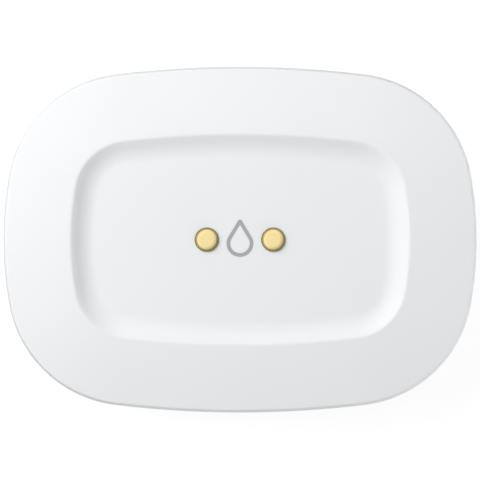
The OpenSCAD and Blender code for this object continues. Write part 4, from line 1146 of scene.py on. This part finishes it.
def button_cap():
    """The button: a dished face with a rolled edge, the groove for its seal, a flange to keep it in, a stem."""
    low, high = corners("pairing_button")
    flange_r = (high.x - low.x) / 2
    seal_low, seal_high = corners("button_seal")
    groove = BUTTON_R - BUTTON_GROOVE
    dish_r, dish_depth = BUTTON_R * 0.78, 0.18
    dish = [Vector((dish_r * k / 8, low.z + dish_depth * (0.5 + 0.5 * math.cos(math.pi * k / 8))))
            for k in range(9)]
    rest = rounded([(dish_r, low.z, 0), (BUTTON_R, low.z, 0.2), (BUTTON_R, seal_low.z, 0),
                    (groove, seal_low.z, 0), (groove, seal_high.z, 0), (BUTTON_R, seal_high.z, 0),
                    (BUTTON_R, FLANGE_Z, 0),
                    (flange_r, FLANGE_Z, 0.1), (flange_r, FLANGE_Z + FLANGE, 0.1),
                    (STEM_R, FLANGE_Z + FLANGE, 0), (STEM_R, high.z, 0.15), (0, high.z, 0)])
    return turned("pairing_button_cap", dish[:-1] + rest, AROUND, BUTTON.xy)


def light_rod():
    """The light pipe: a clear rod with a softly domed end in the base, and a collar that rests on the floor."""
    low, high = corners("light_pipe")
    collar_r = (high.x - low.x) / 2
    collar_z = FLOOR_Z + LIGHT_COLLAR
    return turned("light_pipe_rod", rounded([
        (0, low.z, 0), (LIGHT_R * 0.6, low.z + 0.02, 0), (LIGHT_R, low.z + 0.1, 0.08), (LIGHT_R, FLOOR_Z, 0),
        (collar_r, FLOOR_Z, 0.08), (collar_r, collar_z, 0.08), (LIGHT_R, collar_z, 0), (LIGHT_R, high.z, 0.06),
        (0, high.z, 0)]), SMALL_AROUND, LIGHT.xy)


def switch_pin():
    """The switch's plunger, rounded where the button meets it."""
    low, high = corners("switch_plunger")
    r = (high.x - low.x) / 2
    return turned("switch_plunger_pin", rounded([(0, low.z, 0), (r, low.z, 0.2), (r, high.z, 0.1),
                                                 (0, high.z, 0)]), SMALL_AROUND, BUTTON.xy)


seal_low, seal_high = corners("button_seal")
button_ring = hoop("button_seal_ring", edged(BUTTON_R - BUTTON_GROOVE + FIT_GAP, (seal_high.x - seal_low.x) / 2,
                                             seal_low.z, seal_high.z, 0.12), BUTTON.xy)
lamp_low, lamp_high = corners("status_led")
led = joined("status_led_chip", block(lamp_low, lamp_high, 0.1, 0.15, 0.02))
led.data.materials.append(ALUMINA)
faced(led, CLEAR, lambda spot, way: spot.z < lamp_low.z + 0.2)
for piece, finish, body, slot, node in ((button_cap(), GREY_ABS, "button", "button_grey", "pairing_button"),
                                        (button_ring, GREY_SILICONE, "button", "silicone_grey", "button_seal"),
                                        (switch_pin(), BLACK_NYLON, "button", "chip_black", "switch_plunger"),
                                        (light_rod(), CLEAR, "case", "clear_plastic", "light_pipe"),
                                        (led, None, "case", "ceramic_white", "status_led")):
    if finish:
        piece.data.materials.append(finish)
    fitted(piece, body, slot, node)


# Floor, light and camera

CAMERA_LIFT, GLOSSY_LIFT = 0.78, 0.5


def floor_finish():
    """Pale seamless paper. The camera, reflections and clear pieces see it lifted to white, each by what it
    lacks, and it keeps its shadow."""
    material, tree, shader, _ = surface("pale_paper", "AFAFAF", 0.9)
    rays = add(tree, "ShaderNodeLightPath").outputs
    seen = add(tree, "ShaderNodeMath", {0: rays["Is Camera Ray"], 1: rays["Is Transmission Ray"]},
               operation="MAXIMUM").outputs[0]
    lift = add(tree, "ShaderNodeMath", {0: seen, 1: CAMERA_LIFT}, operation="MULTIPLY").outputs[0]
    lift = add(tree, "ShaderNodeMath", {0: rays["Is Glossy Ray"], 1: GLOSSY_LIFT, 2: lift},
               operation="MULTIPLY_ADD").outputs[0]
    shader.inputs["Emission Color"].default_value = (1, 1, 1, 1)
    fed(tree, shader, {"Emission Strength": lift})
    return material


FLOOR_SIDE, FLOOR_DROP = 3.0, -0.02
floor = from_parts("floor", [(x * FLOOR_SIDE / MM, y * FLOOR_SIDE / MM, FLOOR_DROP) for x, y in
                             ((-1, -1), (1, -1), (1, 1), (-1, 1))], [(0, 1, 2, 3)])
floor.data.materials.append(floor_finish())


# The key's direction, and how bright reflections see the studio away from the key and towards it
KEY_AZIMUTH, FAR_SIDE, NEAR_SIDE = 141, 0.55, 1.09
KEY_SIDE = (math.cos(math.radians(KEY_AZIMUTH)), math.sin(math.radians(KEY_AZIMUTH)), 0)


def studio_world(ambient):
    """White to the camera and through clear pieces, dimmer away from the key in reflections, and a plain level
    of soft light on the rest."""
    world = bpy.data.worlds.new("studio")
    world.use_nodes = True
    tree = world.node_tree
    rays = add(tree, "ShaderNodeLightPath").outputs
    seen = add(tree, "ShaderNodeMath", {0: rays["Is Camera Ray"], 1: rays["Is Transmission Ray"]},
               operation="MAXIMUM")
    level = add(tree, "ShaderNodeMapRange", {0: seen.outputs[0], 3: ambient, 4: 1.0})
    way = add(tree, "ShaderNodeTexCoord").outputs["Generated"]
    side = add(tree, "ShaderNodeVectorMath", {0: way, 1: KEY_SIDE}, operation="DOT_PRODUCT").outputs["Value"]
    glow = add(tree, "ShaderNodeMapRange", {0: side, 1: -0.8, 2: 0.25, 3: FAR_SIDE, 4: NEAR_SIDE},
               interpolation_type="SMOOTHSTEP")
    level = add(tree, "ShaderNodeMix", {0: rays["Is Glossy Ray"], 2: level.outputs[0], 3: glow.outputs[0]})
    background = tree.nodes["Background"]
    background.inputs["Color"].default_value = (1, 1, 1, 1)
    tree.links.new(level.outputs[0], background.inputs["Strength"])
    bpy.context.scene.world = world


def lamp(name, azimuth, elevation, distance, width, height, power):
    """A wide soft box that faces the object and stays out of reflections, which see the studio alone. Azimuth
    is counter-clockwise from +X, in degrees, and distance and size are in metres."""
    light = bpy.data.lights.new(name, "AREA")
    light.shape, light.size, light.size_y, light.energy = "RECTANGLE", width, height, power
    piece = placed(name, light)
    a, e = math.radians(azimuth), math.radians(elevation)
    piece.location = Vector((math.cos(a) * math.cos(e), math.sin(a) * math.cos(e), math.sin(e))) * distance
    piece.rotation_euler = (-piece.location).to_track_quat("-Z", "Y").to_euler()
    piece.visible_glossy = False


# A lamp's azimuth, elevation, distance, width, height and power. The strips graze the sides of the case
studio_world(0.287)
lamp("key_softbox", KEY_AZIMUTH, 50, 0.31, 0.31, 0.31, 0.97)
lamp("low_fill", -58, 13, 0.5, 0.8, 0.2, 0.56)
lamp("right_strip", 0, 1.2, 0.5, 0.5, 0.02, 1.03)
lamp("front_strip", -100, 1.2, 0.5, 0.5, 0.02, 0.3)

# The photograph looks straight down, and its frame is this wide at the parting line and shifted a little
FRAME_WIDTH, FRAME_SHIFT = 55.81, -0.05
camera = bpy.data.cameras.new("camera")
camera.lens, camera.sensor_width, camera.clip_end = 900, 36, 20
eye = placed("camera", camera)
eye.location = (0, FRAME_SHIFT * MM, PARTING * MM + FRAME_WIDTH * MM * camera.lens / camera.sensor_width)
bpy.context.scene.camera = eye
bpy.context.scene.view_settings.view_transform = "Standard"
